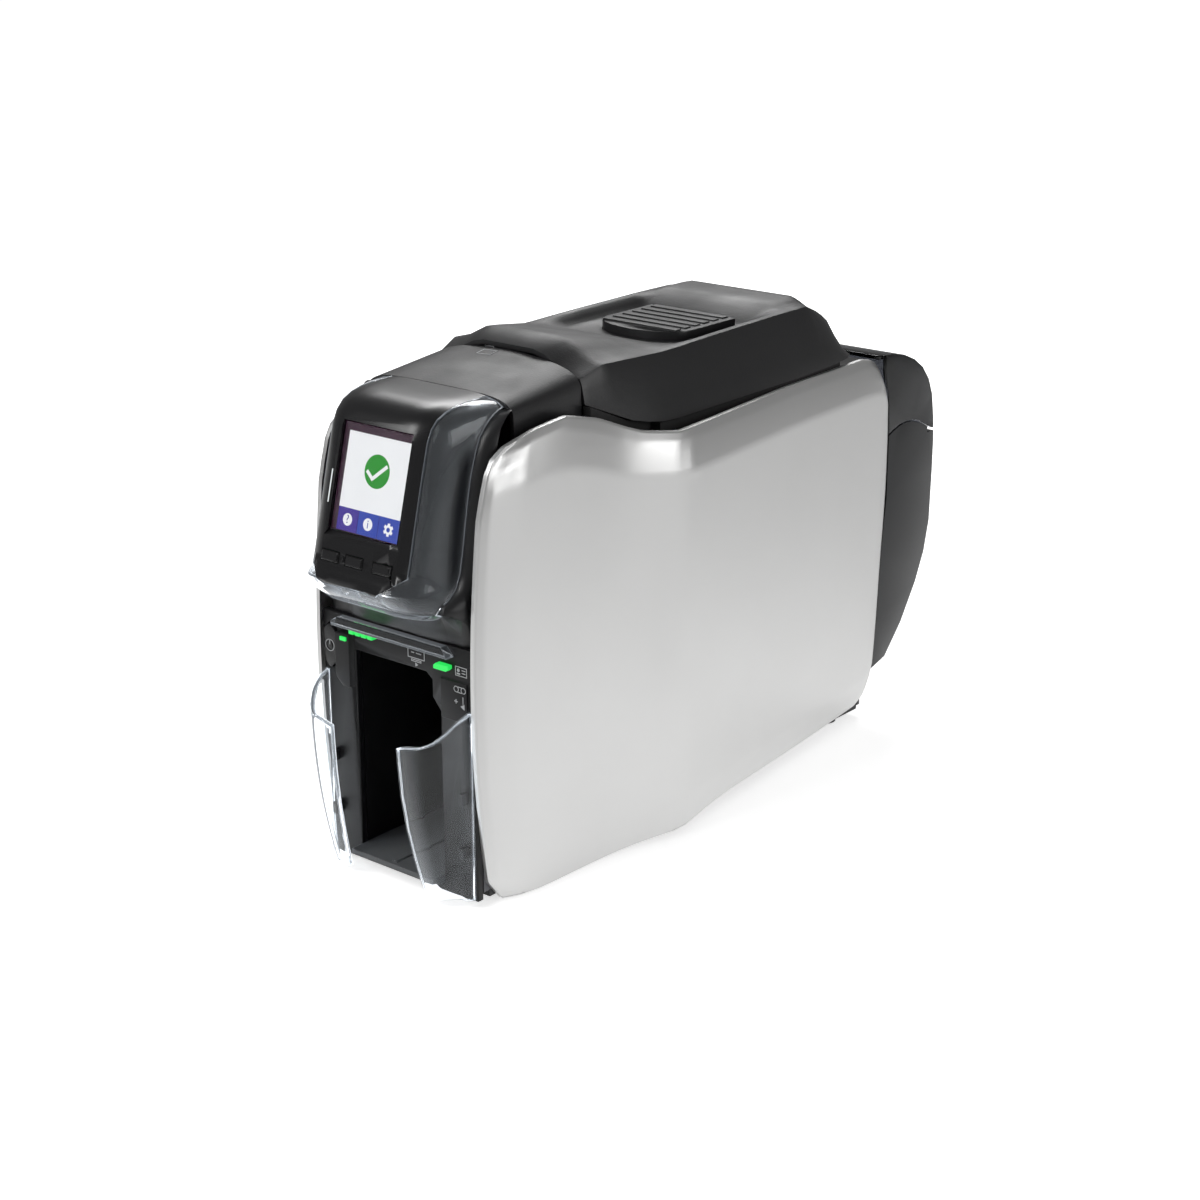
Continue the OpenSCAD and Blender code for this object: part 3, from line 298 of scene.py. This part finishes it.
shader.inputs["Metallic"].default_value = 0.85
print("Satin silver ready")

# %% [markdown]
# Clear and smoked plastic let light through. Real clear parts pick up fine scuffs, so a little noise
# goes into the roughness, while the metal and transmission amounts stay plain numbers. Where a rim
# amount is given, the surface also glows pale blue-white where it is seen edge-on: a painted highlight
# standing in for the bright edges of clear plastic.

# %% Clear and smoked plastic
def see_through(name, colour, roughness, scuff=0.03, ior=1.45, rim=0.0):
    material, tree, shader = new_material(name)
    texture = add_node(tree, "ShaderNodeGroup", node_tree=grain_group)
    texture.inputs["Patch Size"].default_value = 60.0
    rough = maths(tree, "MULTIPLY_ADD", texture.outputs["Patch"], scuff, roughness)
    tree.links.new(rough, shader.inputs["Roughness"])
    dark = [c * 0.96 for c in colour]
    tree.links.new(two_tones(tree, texture.outputs["Patch"], dark, colour), shader.inputs["Base Color"])
    shader.inputs["Metallic"].default_value = 0.0
    shader.inputs["Transmission Weight"].default_value = 1.0
    shader.inputs["IOR"].default_value = ior
    # The rim amount sets a painted highlight: a pale glow that grows where the surface is seen edge-on.
    if rim:
        edge_on = add_node(tree, "ShaderNodeLayerWeight")
        edge_on.inputs["Blend"].default_value = 0.35
        painted_edge_glow = maths(tree, "POWER", edge_on.outputs["Facing"], 2.0)
        tree.links.new(maths(tree, "MULTIPLY", painted_edge_glow, rim), shader.inputs["Emission Strength"])
        shader.inputs["Emission Color"].default_value = (0.85, 0.92, 1.0, 1)
    return material


# The rim numbers below set how strong each clear finish's painted edge highlight is.
clear_plastic = see_through("clear_plastic", (0.84, 0.87, 0.90), 0.0, scuff=0.01, ior=1.3, rim=0.30)
clear_hood = see_through("clear_hood", (0.80, 0.83, 0.86), 0.0, scuff=0.01, ior=1.28, rim=0.22)
clear_rim_glow = see_through("clear_rim_glow", (0.93, 0.95, 0.97), 0.0, scuff=0.01, ior=1.4, rim=0.7)
smoked_hopper = see_through("smoked_hopper", (0.035, 0.037, 0.043), 0.04)
screen_glass = see_through("screen_glass", (0.95, 0.93, 0.95), 0.0, scuff=0.01, ior=1.12)
smoked_body = finish("smoked_body", (0.006, 0.0065, 0.008), 0.14, depth=0.04, dust=0.1)
print("Clear finishes ready")

# %% [markdown]
# The screen, its icons and the status lamps give off their own light. Each is a plain glow with a
# slight unevenness, as a real backlight has.

# %% Glowing finishes
def glow(name, colour, strength, base=0.5):
    material, tree, shader = new_material(name)
    texture = add_node(tree, "ShaderNodeGroup", node_tree=grain_group)
    texture.inputs["Patch Size"].default_value = 30.0
    dim = [c * 0.97 for c in colour]
    tone = two_tones(tree, texture.outputs["Patch"], dim, colour)
    tree.links.new(tone, shader.inputs["Emission Color"])
    shader.inputs["Emission Strength"].default_value = strength
    shader.inputs["Base Color"].default_value = (*[c * base for c in colour], 1)
    shader.inputs["Roughness"].default_value = 0.4
    return material


screen_white = glow("screen_white", (0.86, 0.90, 0.90), 0.9, base=0.1)
screen_dark = glow("screen_dark", (0.020, 0.002, 0.014), 0.6)
screen_green = glow("screen_green", (0.002, 0.26, 0.008), 1.0, base=0.05)
screen_blue = glow("screen_blue", (0.012, 0.045, 0.36), 1.0, base=0.05)
screen_violet = glow("screen_violet", (0.035, 0.016, 0.26), 1.0, base=0.05)
lamp_green = glow("lamp_green", (0.02, 0.62, 0.09), 1.1)
print("Glowing finishes ready")

# %% [markdown]
# Parts of the model whose shape is already right keep their mesh and get a better finish. A loaded
# mesh is loose triangles, so a weld comes first, then a small bevel catches the light on the edges.

# %% Finish the parts that keep their mesh
EDGE_ANGLE = math.radians(35)


def dress(node_names, material, bevel=0.0):
    for name in node_names:
        obj = nodes[name]
        obj.data.materials.clear()
        obj.data.materials.append(material)
        if bevel:
            weld = obj.modifiers.new("join_corners", "WELD")
            weld.merge_threshold = 0.00001
            edge = obj.modifiers.new("soft_edges", "BEVEL")
            edge.width = bevel * MM
            edge.segments = 2
            edge.limit_method = "ANGLE"
            edge.angle_limit = EDGE_ANGLE
            edge.harden_normals = True


dress(["base_frame"], base_plastic, 0.6)
dress(["rubber_feet"], black_rubber, 0.8)
dress(["left_frame", "right_frame"], painted_plate)
dress(["bay_surround", "lid_liner", "latch_hooks", "card_guides"], dark_liner)
dress(["input_magazine", "card_weight", "output_chute"], dark_liner)
dress(["hopper_clips", "rear_panel"], black_housing, 0.4)
dress(["hopper_floor"], grey_plate, 0.4)
dress(["lid_gasket", "drive_belt"], black_rubber)
dress(["status_leds"], lamp_green, 0.3)
dress(["light_pipe"], clear_plastic, 0.4)
dress(["lcd_module"], screen_dark)
dress(["key_left", "key_middle", "key_right"], gloss_key, 0.7)
dress(["display_board", "main_board"], circuit_board)
dress(["print_head", "head_bracket", "power_supply"], bright_steel)
dress(["lid_hinge_pin", "door_hinge_pin", "case_screws"], bright_steel)
dress(["head_heat_sink"], fin_aluminium)
dress(["platen_roller", "entry_roller", "exit_roller", "cleaning_roller"], roller_rubber)
dress(["drive_motor", "data_ports"], motor_steel)
dress(["drive_gear", "supply_spindle", "takeup_spindle"], gear_plastic)
dress(["motor_pinion"], pinion_brass)
dress(["power_inlet"], inlet_plastic, 0.3)
print("Dressed", sum(1 for n in nodes.values() if n.data.materials), "nodes")

# %% [markdown]
# The large covers are sculpted skins. A copy is merged into one surface, its triangles are joined
# back into four-sided patches, and a subdivision smooths the coarse grid without losing the outline.

# %% Copy a sculpted cover
def cover_copy(node_name, new_name, material, body, patches=False):
    source = nodes[node_name]
    obj = source.copy()
    obj.data = source.data.copy()
    for key in list(obj.keys()):
        del obj[key]
    obj.parent = None
    obj.name = new_name
    obj.data.name = new_name
    scene.collection.objects.link(obj)
    obj.data.materials.clear()
    obj.data.materials.append(material)
    edit(obj, "VERT")
    bpy.ops.mesh.remove_doubles(threshold=0.00002)
    if patches:
        bpy.ops.mesh.tris_convert_to_quads(face_threshold=math.radians(40),
                                           shape_threshold=math.radians(70))
    leave_edit()
    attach(obj, body)
    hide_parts(node_name)
    print(new_name, len(obj.data.polygons), "faces")
    return obj


def crease_sharp(obj, angle, amount=1.0):
    """Marks the edges sharper than an angle, so a subdivision keeps them."""
    edit(obj, "EDGE")
    bpy.ops.mesh.select_all(action="DESELECT")
    bpy.ops.mesh.edges_select_sharp(sharpness=math.radians(angle))
    bpy.ops.transform.edge_crease(value=amount)
    leave_edit()


def smooth_grid(obj, levels=2):
    rounding = obj.modifiers.new("rounding", "SUBSURF")
    rounding.levels = levels
    rounding.render_levels = levels
    apply_modifiers(obj)
    pick(obj)
    bpy.ops.object.shade_smooth_by_angle(angle=math.radians(40))
    return obj


# %% [markdown]
# Each silver side panel is one pressed sheet with a rolled border. Its rim is held by a crease, so
# the sheet keeps its thin edge while the broad face turns into one smooth sweep.

# %% Silver side panels
def crease_border(obj, angle, amount):
    """Keeps the line where the flat face meets its border, but not the soft fold across the middle."""
    edit(obj, "EDGE")
    bpy.ops.mesh.select_all(action="DESELECT")
    bpy.ops.mesh.edges_select_sharp(sharpness=math.radians(angle))
    leave_edit()
    points = obj.data.vertices
    count = 0
    for line in obj.data.edges:
        a, b = (points[k].co / MM for k in line.vertices)
        middle = (a + b) / 2
        upright = abs(a.z - b.z) > abs(a.y - b.y)
        inside = upright and -145 < middle.y < 130
        line.select = line.select and not inside
        count += line.select
    pick(obj)
    bpy.ops.object.mode_set(mode="EDIT")
    bpy.ops.transform.edge_crease(value=amount)
    leave_edit()
    print("Border edges:", count)


for side in ("right", "left"):
    panel = cover_copy(side + "_side_panel", side + "_panel_skin", silver_panel, "chassis",
                       patches=True)
    crease_sharp(panel, 60, 0.9)
    crease_border(panel, 5, 0.75)
    smooth_grid(panel)

# %% [markdown]
# The lid has a cut-out for its latch, where the patches are uneven. Instead of subdividing it, its
# folds are rounded by a bevel that only touches edges above a set angle.

# %% Lid shell
def soften_folds(obj, width, angle=28, segments=3, smooth=45):
    fold = obj.modifiers.new("folds", "BEVEL")
    fold.width = width * MM
    fold.segments = segments
    fold.limit_method = "ANGLE"
    fold.angle_limit = math.radians(angle)
    apply_modifiers(obj)
    pick(obj)
    bpy.ops.object.shade_smooth_by_angle(angle=math.radians(smooth))
    return obj


lid_skin = cover_copy("lid_shell", "lid_skin", black_lid, "lid")
soften_folds(lid_skin, 0.5, angle=50, smooth=60)

# %% [markdown]
# The front top cover is a thin moulding that falls away at its edges, so it is smoothed like the
# side panels. The display frame and the clear hood round over the front of the machine in tight
# bends that the mechanical grid already follows, so only their sharp edges are softened.

# %% Front top cover, display frame, hood and front
top_cover = cover_copy("front_top_cover", "top_cover_skin", black_lid, "chassis",
                       patches=True)
crease_sharp(top_cover, 60, 1.0)
smooth_grid(top_cover)
pod_frame = cover_copy("display_frame", "pod_frame_skin", black_housing, "chassis")
soften_folds(pod_frame, 0.3, angle=50, smooth=60)
hood = cover_copy("display_hood", "hood_skin", clear_hood, "chassis")
soften_folds(hood, 0.3, angle=50, smooth=60)
fascia = cover_copy("front_fascia", "fascia_skin", black_front, "chassis")
soften_folds(fascia, 0.6, angle=40, smooth=40)

# %% [markdown]
# The bezel leans back with the screen. Where its curved face was cut for the keys, a few triangles
# dip to the back of a slot and would catch the light as black spikes. Each such corner is lifted to
# the front again, measured along the direction that points out of the sloping face.

# %% Bezel round the screen and the keys
LEAN = math.atan(0.259)
SCREEN_AXES = (Vector((1, 0, 0)), Vector((0, math.sin(LEAN), math.cos(LEAN))),
               Vector((0, -math.cos(LEAN), math.sin(LEAN))))
KEY_NAMES = ("key_left", "key_middle", "key_right")
KEY_HEIGHT = 5
KEY_GAP = 0.35
BY_SLOT = 0.6
DIP_DEPTH = 1.0
WELD_REACH = 0.1


def slot_round(node_name):
    """The rectangle of the slot round a key, in mm along and up the sloping face."""
    key_low, key_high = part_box(node_name)
    middle = (key_low + key_high) / 2
    half_u = (key_high.x - key_low.x) / 2 / MM + KEY_GAP + BY_SLOT
    half_v = KEY_HEIGHT / 2 + KEY_GAP + BY_SLOT
    u, v = middle.x / MM, middle.dot(SCREEN_AXES[1]) / MM
    return u - half_u, u + half_u, v - half_v, v + half_v


def close_dents(obj, slots):
    """Lifts the corners of front faces that dip to the back of a slot up to the front again."""
    mesh = bmesh.new()
    mesh.from_mesh(obj.data)
    up, out = SCREEN_AXES[1:]
    closed = 0
    for face in list(mesh.faces):
        top = max(corner.co.dot(out) for corner in face.verts)
        corners = []
        for corner in face.verts:
            u, v = corner.co.x / MM, corner.co.dot(up) / MM
            by_slot = any(a < u < b and c < v < d for a, b, c, d in slots)
            drop = top - corner.co.dot(out)
            dips = by_slot and drop > DIP_DEPTH * MM
            corners.append(corner.co + out * drop if dips else corner)
        lifted = any(isinstance(c, Vector) for c in corners)
        if lifted and face.normal.dot(out) > 0.05:
            mesh.faces.new([mesh.verts.new(c) if isinstance(c, Vector) else c for c in corners])
            mesh.faces.remove(face)
            closed += 1
    mesh.to_mesh(obj.data)
    mesh.free()
    edit(obj, "VERT")
    bpy.ops.mesh.remove_doubles(threshold=WELD_REACH * MM)
    leave_edit()
    print("Dents closed:", closed)


pod_bezel = cover_copy("display_bezel", "pod_bezel_skin", gloss_bezel, "chassis")
close_dents(pod_bezel, [slot_round(name) for name in KEY_NAMES])
pick(pod_bezel)
bpy.ops.object.shade_smooth_by_angle(angle=math.radians(30))

# %% [markdown]
# The two clear wings guide the finished cards as they fall. Each is a blown shell with a rim. The
# crease on the rim is left a little loose, so the edge stays thick and round as a moulded one does.
# A moulded rim also catches the light along its whole length. A thin bead does the same here: the rim's
# edges alone are turned into a curve, and the curve is given a round section. Part of its brightness is
# painted: its finish glows strongly where it is seen edge-on, a painted highlight along the rim.

# %% Output wings
RIM_RADIUS = 0.32


def rim_bead(wing, name, radius):
    """A thin round bead along the sharp rim of a wing, made from a curve that follows the rim."""
    pick(wing)
    bpy.ops.object.duplicate()
    bead = bpy.context.object
    edit(bead, "EDGE")
    bpy.ops.mesh.select_all(action="DESELECT")
    bpy.ops.mesh.edges_select_sharp(sharpness=math.radians(60))
    bpy.ops.mesh.select_all(action="INVERT")
    bpy.ops.mesh.delete(type="EDGE_FACE")
    leave_edit()
    pick(bead)
    bpy.ops.object.convert(target="CURVE")
    bead = bpy.context.object
    bead.data.bevel_depth = radius * MM
    bead.data.bevel_resolution = 2
    bpy.ops.object.convert(target="MESH")
    bead = bpy.context.object
    for key in list(bead.keys()):
        del bead[key]
    bead.name = name
    bead.data.name = name
    bead.data.materials.clear()
    # The bead's finish carries a strong painted edge highlight.
    bead.data.materials.append(clear_rim_glow)
    bpy.ops.object.shade_smooth()
    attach(bead, "chassis")
    print(name, len(bead.data.polygons), "faces")


for side in ("right", "left"):
    wing = cover_copy("output_wing_" + side, side + "_wing_skin", clear_plastic, "chassis",
                      patches=True)
    rim_bead(wing, side + "_wing_rim", RIM_RADIUS)
    crease_sharp(wing, 60, 0.7)
    smooth_grid(wing)

# %% [markdown]
# The rear hopper is glossy smoked plastic, nearly black where it is thick. Its door, the lid latch
# and the power button are finished the same way: one merged copy each, with its edges rounded.

# %% Rear hopper, latch and power button
hopper = cover_copy("rear_hopper_body", "hopper_skin", smoked_body, "chassis")
soften_folds(hopper, 0.8, angle=40, smooth=50)
door = cover_copy("hopper_door", "door_skin", smoked_hopper, "hopper_door")
soften_folds(door, 0.8, angle=40, smooth=50)
latch = cover_copy("latch_button", "latch_skin", black_lid, "latch_button")
soften_folds(latch, 0.8, angle=40, smooth=50)
power = cover_copy("power_button", "power_button_skin", gloss_bezel, "power_button")
soften_folds(power, 0.25, angle=40, smooth=40)

# %% [markdown]
# The screen leans back on the sloping face. Its place is read from the display's own box, so the
# picture still fits if the printer is made wider or taller. A flat shape is drawn lying down first,
# then turned onto the face and pushed in to its depth.

# %% Where flat shapes are laid
FRONT_AXES = (Vector((1, 0, 0)), Vector((0, 0, 1)), Vector((0, -1, 0)))
MODULE_TO_FACE = 3.5
module_low, module_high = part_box("lcd_module")
screen_origin = (module_low + module_high) / 2 + SCREEN_AXES[2] * MODULE_TO_FACE * MM


def lay(obj, axes, origin, depth=0.0):
    """Turns a shape drawn flat around the world's origin onto a face, then settles it."""
    turn = Matrix(axes).transposed().to_4x4()
    obj.matrix_world = Matrix.Translation(origin - axes[2] * depth * MM) @ turn @ obj.matrix_world
    return settle(obj)


def thicken(obj, amount):
    edit(obj)
    bpy.ops.mesh.extrude_region_move(TRANSFORM_OT_translate={"value": (0, 0, amount * MM)})
    bpy.ops.mesh.select_all(action="SELECT")
    bpy.ops.mesh.normals_make_consistent(inside=False)
    leave_edit()
    return obj


def paint(obj, material):
    obj.data.materials.clear()
    obj.data.materials.append(material)
    return obj


def bar(u, v, wide, high, turn=0.0, thick=0.04):
    bpy.ops.mesh.primitive_plane_add(size=1, location=(u * MM, v * MM, 0),
                                     rotation=(0, 0, math.radians(turn)))
    obj = bpy.context.object
    obj.scale = (wide * MM, high * MM, 1)
    return thicken(settle(obj), thick)


def disc(u, v, radius, corners=48, thick=0.04, turn=0.0):
    bpy.ops.mesh.primitive_circle_add(vertices=corners, radius=radius * MM, fill_type="NGON",
                                      location=(u * MM, v * MM, 0), rotation=(0, 0, math.radians(turn)))
    return thicken(settle(bpy.context.object), thick)


def hollow(obj, line):
    """Leaves only a line round the edge of a flat shape."""
    edit(obj)
    bpy.ops.mesh.select_all(action="DESELECT")
    leave_edit()
    for face in obj.data.polygons:
        face.select = abs(face.normal.z) > 0.9
    pick(obj)
    bpy.ops.object.mode_set(mode="EDIT")
    bpy.ops.mesh.select_mode(type="FACE")
    bpy.ops.mesh.inset(thickness=line * MM)
    bpy.ops.mesh.bridge_edge_loops()
    bpy.ops.mesh.select_all(action="SELECT")
    bpy.ops.mesh.normals_make_consistent(inside=False)
    leave_edit()
    return obj


def sign(character, u, v, height, thick=0.04):
    bpy.ops.object.text_add(location=(u * MM, v * MM, 0))
    obj = bpy.context.object
    obj.data.body = character
    obj.data.align_x = "CENTER"
    obj.data.align_y = "CENTER"
    obj.data.size = height * MM
    obj.data.extrude = thick * MM / 2
    pick(obj)
    bpy.ops.object.convert(target="MESH")
    return settle(bpy.context.object)


def join(parts, name):
    pick(parts[0])
    for part in parts[1:]:
        part.select_set(True)
    bpy.ops.object.join()
    obj = bpy.context.object
    obj.name = name
    obj.data.name = name
    return obj


print("Screen centre in mm:", [round(v / MM, 1) for v in screen_origin])

# %% [markdown]
# The lit picture is a white page with a check mark in a green disc and a blue bar with three plain
# signs. It is built as thin plates in layers, each a hair in front of the last, behind the glass.

# %% Picture on the screen
PAGE_DEPTH = 1.96
MARK_DEPTH = 1.90
TOP_DEPTH = 1.84
PAGE_U = 1.65
PAGE_V = 3.75
PAGE_WIDE = 39.3
PAGE_TALL = 35.5
BAR_V = -19.4
BAR_TALL = 10.8
CELL = PAGE_WIDE / 3
CELL_GAP = 0.25
MARK_U = 2.6
MARK_V = 5.4
MARK_RADIUS = 7.9
STROKE = 1.7
STROKE_TURN = 40
ICON_RADIUS = 2.9
LETTER = 5.6
GEAR_TEETH = 6
picture = []


def on_screen(obj, material, depth):
    picture.append(lay(paint(obj, material), SCREEN_AXES, screen_origin, depth))


cells = [PAGE_U - CELL, PAGE_U, PAGE_U + CELL]
on_screen(bar(PAGE_U, PAGE_V, PAGE_WIDE, PAGE_TALL), screen_white, PAGE_DEPTH)
for u, colour in zip(cells, (screen_violet, screen_blue, screen_blue)):
    on_screen(bar(u, BAR_V, CELL - CELL_GAP, BAR_TALL), colour, PAGE_DEPTH)
on_screen(disc(MARK_U, MARK_V, MARK_RADIUS), screen_green, MARK_DEPTH)
on_screen(bar(MARK_U - 4.1, MARK_V - 2.3, 5.8, STROKE, turn=-STROKE_TURN), screen_white, TOP_DEPTH)
on_screen(bar(MARK_U + 1.8, MARK_V - 0.2, 11.0, STROKE, turn=STROKE_TURN), screen_white, TOP_DEPTH)
for u, letter, colour in ((cells[0], "?", screen_violet), (cells[1], "i", screen_blue)):
    on_screen(disc(u, BAR_V, ICON_RADIUS), screen_white, MARK_DEPTH)
    on_screen(sign(letter, u, BAR_V, LETTER), colour, TOP_DEPTH)
for step in range(GEAR_TEETH // 2):
    tooth_turn = 30 + step * 360 / GEAR_TEETH
    on_screen(bar(cells[2], BAR_V, 6.0, 1.5, turn=tooth_turn), screen_white, MARK_DEPTH)
on_screen(disc(cells[2], BAR_V, 2.2), screen_white, MARK_DEPTH)
on_screen(disc(cells[2], BAR_V, 1.1), screen_blue, TOP_DEPTH)
screen_picture = join(picture, "screen_picture")
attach(screen_picture, "chassis")
print("Screen picture:", len(screen_picture.data.polygons), "faces")

# %% [markdown]
# The glass in front is one thin pane with a bevelled edge. It is thinner than the mechanical one, so
# the layers of the picture stand free behind it and don't touch.

# %% Screen glass
PANE_WIDE = 42.6
PANE_TALL = 50.4
PANE_THICK = 0.7
PANE_DEPTH = 1.65
pane = bar(0, 0, PANE_WIDE, PANE_TALL, thick=PANE_THICK)
edge = pane.modifiers.new("edge", "BEVEL")
edge.width = 0.15 * MM
edge.segments = 2
apply_modifiers(pane)
pane.name = "screen_pane"
pane.data.name = "screen_pane"
paint(pane, screen_glass)
lay(pane, SCREEN_AXES, screen_origin, PANE_DEPTH)
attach(pane, "chassis")
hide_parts("lcd_glass")

# %% [markdown]
# Small grey signs are printed on the black front. They tell where a single card goes in, and which
# lamp stands for cards, ribbon or cleaning. Each is built from thin bars and discs, as a stencil is.

# %% Signs printed on the front
SIGN_LINE = 0.45
FASCIA_STEP = 1.2
chute_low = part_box("output_chute")[0]
front_y = chute_low.y - 4 * MM


def card_slot_shapes():
    return [hollow(bar(0, 0, 11.0, 5.4), SIGN_LINE), bar(-2.2, 0.2, 2.0, 0.5),
            bar(1.6, 0.2, 3.4, 0.5), hollow(bar(0, -3.7, 6.6, 1.2), 0.4),
            disc(0, -5.6, 1.2, 3, turn=-90)]


def card_shapes():
    return [hollow(bar(0, 0, 7.4, 4.8), 0.4), disc(-1.7, 0.5, 0.9, 16), bar(-1.7, -1.2, 2.2, 0.8),
            bar(1.6, 0.8, 2.4, SIGN_LINE), bar(1.6, -0.6, 2.4, SIGN_LINE)]


def ribbon_shapes():
    spools = [hollow(disc(u, 0, 1.6, 24), 0.4) for u in (-2.3, 2.2)]
    return spools + [bar(0, 1.3, 2.6, 0.4), bar(0, -1.4, 4.4, 0.4)]


def cleaning_shapes():
    return [bar(-2.4, 0, 2.2, SIGN_LINE), bar(-2.4, 0, SIGN_LINE, 2.2), bar(2.0, 1.2, 0.5, 3.6),
            disc(2.0, -2.0, 1.7, 3, turn=90)]


for name, shapes, u, v, forward_mm in (("card_slot_sign", card_slot_shapes(), 12.8, 122.6, 0),
                                       ("id_sign", card_shapes(), 41.6, 120.2, 0),
                                       ("ribbon_sign", ribbon_shapes(), 41.7, 111.6, FASCIA_STEP),
                                       ("clean_sign", cleaning_shapes(), 41.6, 105.4, FASCIA_STEP)):
    sign_piece = paint(join(shapes, name), printed_grey)
    lay(sign_piece, FRONT_AXES, Vector((u * MM, front_y - forward_mm * MM, v * MM)))
    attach(sign_piece, "chassis")
print("Front signs on the plane y =", round(front_y / MM, 2), "mm")

# %% [markdown]
# Three more marks are small but seen: the ring and stroke on the power button, the narrow light slot
# beside the screen, and the reader sign on the top cover, a card with two waves above it. The waves
# are rings with most of their length cut away.

# %% Marks on the button, the bezel and the top cover
power_low, power_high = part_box("power_button")
power_middle = (power_low + power_high) / 2
power_sign = join([hollow(disc(0, 0, 3.1), 0.35), bar(0, 1.6, 0.5, 2.6)], "power_sign")
paint(power_sign, printed_grey)
lay(power_sign, FRONT_AXES, Vector((power_middle.x, power_low.y, power_middle.z)))
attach(power_sign, "power_button")

LIGHT_U = -23.9
LIGHT_V = -5.6
LIGHT_TALL = 15.6
light_slot = join([hollow(bar(LIGHT_U, LIGHT_V, 0.7, LIGHT_TALL), 0.15),
                   bar(LIGHT_U, LIGHT_V, 0.4, LIGHT_TALL - 0.3, thick=0.02)], "light_slot")
paint(light_slot, screen_white)
lay(light_slot, SCREEN_AXES, screen_origin, 0.08)
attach(light_slot, "chassis")


def wave(radius, line):
    ring = hollow(disc(0, 0, radius), line)
    for flat in ((1, 1, 0), (-1, 1, 0)):
        edit(ring)
        bpy.ops.mesh.bisect(plane_co=(0, 0, 0), plane_no=flat, use_fill=True, clear_inner=True)
        leave_edit()
    return ring


def surface_at(obj, x, y):
    """The spot and the directions along and out of a cover, found by looking straight down on it."""
    _, spot, out, _ = obj.ray_cast(Vector((x * MM, y * MM, 1)), Vector((0, 0, -1)))
    right = Vector((1, 0, 0))
    right = (right - out * right.dot(out)).normalized()
    return spot, (right, out.cross(right), out)


READER_X = -9
READER_Y = -100
reader_spot, reader_axes = surface_at(top_cover, READER_X, READER_Y)
reader_parts = [hollow(bar(2, -3, 9, 6), 0.45)]
for radius in (4.2, 6.6):
    arc = wave(radius, 0.5)
    arc.location = (-2 * MM, 0.5 * MM, 0)
    reader_parts.append(settle(arc))
reader_sign = join(reader_parts, "reader_sign")
paint(reader_sign, printed_grey)
lay(reader_sign, reader_axes, reader_spot, -0.03)
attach(reader_sign, "chassis")
print("Reader sign:", len(reader_sign.data.polygons), "faces")

# %% [markdown]
# The printer stands on a white table in soft light from large lamps. The table keeps the shadow, and
# the table and the background behind it glow white only for rays that the camera or glass send out. Its
# glow is a little weaker close to the printer, a painted shade round the feet, so that the real shadow
# there isn't washed out. Close to the printer the table also glows for rays from glossy surfaces alone:
# a painted reflection of bright table in the shiny parts.

# %% Table and light
FAR_GLOW = 0.86
# How much the table's glow drops close to the printer: a painted shade round its feet.
PAINTED_SHADE_NEAR = -0.26
FALL_PER_METRE = -1.7
# Strength of a glow the table shows only in reflections near the printer: a painted reflection.
PAINTED_TABLE_REFLECTION = 0.8
SKY_LIGHT = 0.20
bpy.ops.mesh.primitive_plane_add(size=14, location=(0, 2, 0))
table = settle(bpy.context.object)
table.name = "table"
table_white, tree, shader = new_material("table_white")
shader.inputs["Base Color"].default_value = (0.92, 0.92, 0.92, 1)
shader.inputs["Roughness"].default_value = 0.9
shader.inputs["Specular IOR Level"].default_value = 0.1
path = add_node(tree, "ShaderNodeLightPath")
lit = add_node(tree, "ShaderNodeEmission")
lit.inputs["Color"].default_value = (1, 1, 1, 1)
seen = maths(tree, "ADD", path.outputs["Is Camera Ray"], path.outputs["Is Transmission Ray"],
             clamp=True)
where = add_node(tree, "ShaderNodeTexCoord")
away = add_node(tree, "ShaderNodeVectorMath", operation="LENGTH")
tree.links.new(where.outputs["Object"], away.inputs[0])
near = maths(tree, "MULTIPLY_ADD", away.outputs["Value"], FALL_PER_METRE, 1.0, clamp=True)
# Glow seen only by glossy rays close to the printer, a painted reflection of bright table in the shiny
# parts.
painted_reflection_glow = maths(tree, "MULTIPLY", near, path.outputs["Is Glossy Ray"])
painted_reflection_glow = maths(tree, "MULTIPLY", painted_reflection_glow, PAINTED_TABLE_REFLECTION)
# Weaker glow close to the printer: painted shade on the table round the feet.
backdrop = maths(tree, "MULTIPLY_ADD", near, PAINTED_SHADE_NEAR, FAR_GLOW)
strength = maths(tree, "ADD", maths(tree, "MULTIPLY", seen, backdrop), painted_reflection_glow)
tree.links.new(strength, lit.inputs["Strength"])
add_up = add_node(tree, "ShaderNodeAddShader")
tree.links.new(shader.outputs[0], add_up.inputs[0])
tree.links.new(lit.outputs[0], add_up.inputs[1])
tree.links.new(add_up.outputs[0], tree.nodes["Material Output"].inputs["Surface"])
table.data.materials.append(table_white)

world = bpy.data.worlds.new("studio")
scene.world = world
world.use_nodes = True
tree = world.node_tree
tree.nodes["Background"].inputs["Color"].default_value = (1, 1, 1, 1)
path = add_node(tree, "ShaderNodeLightPath")
seen = maths(tree, "ADD", path.outputs["Is Camera Ray"], path.outputs["Is Transmission Ray"],
             clamp=True)
sky = maths(tree, "MULTIPLY_ADD", seen, 1 - SKY_LIGHT, SKY_LIGHT)
tree.links.new(sky, tree.nodes["Background"].inputs["Strength"])


def area_lamp(name, place, size, watts, target=(0, 0, 0.12)):
    data = bpy.data.lights.new(name, "AREA")
    data.shape = "RECTANGLE"
    data.size, data.size_y = size
    data.energy = watts
    lamp = bpy.data.objects.new(name, data)
    lamp.location = place
    lamp.rotation_euler = (Vector(target) - Vector(place)).to_track_quat("-Z", "Y").to_euler()
    scene.collection.objects.link(lamp)


area_lamp("key_lamp", (-0.5, -1.6, 1.5), (1.0, 0.8), 20)
area_lamp("side_lamp", (1.9, 0.2, 0.7), (1.2, 0.8), 9)
area_lamp("back_lamp", (-0.9, 1.2, 1.5), (1.1, 0.6), 22)
print("Stage and lamps ready")
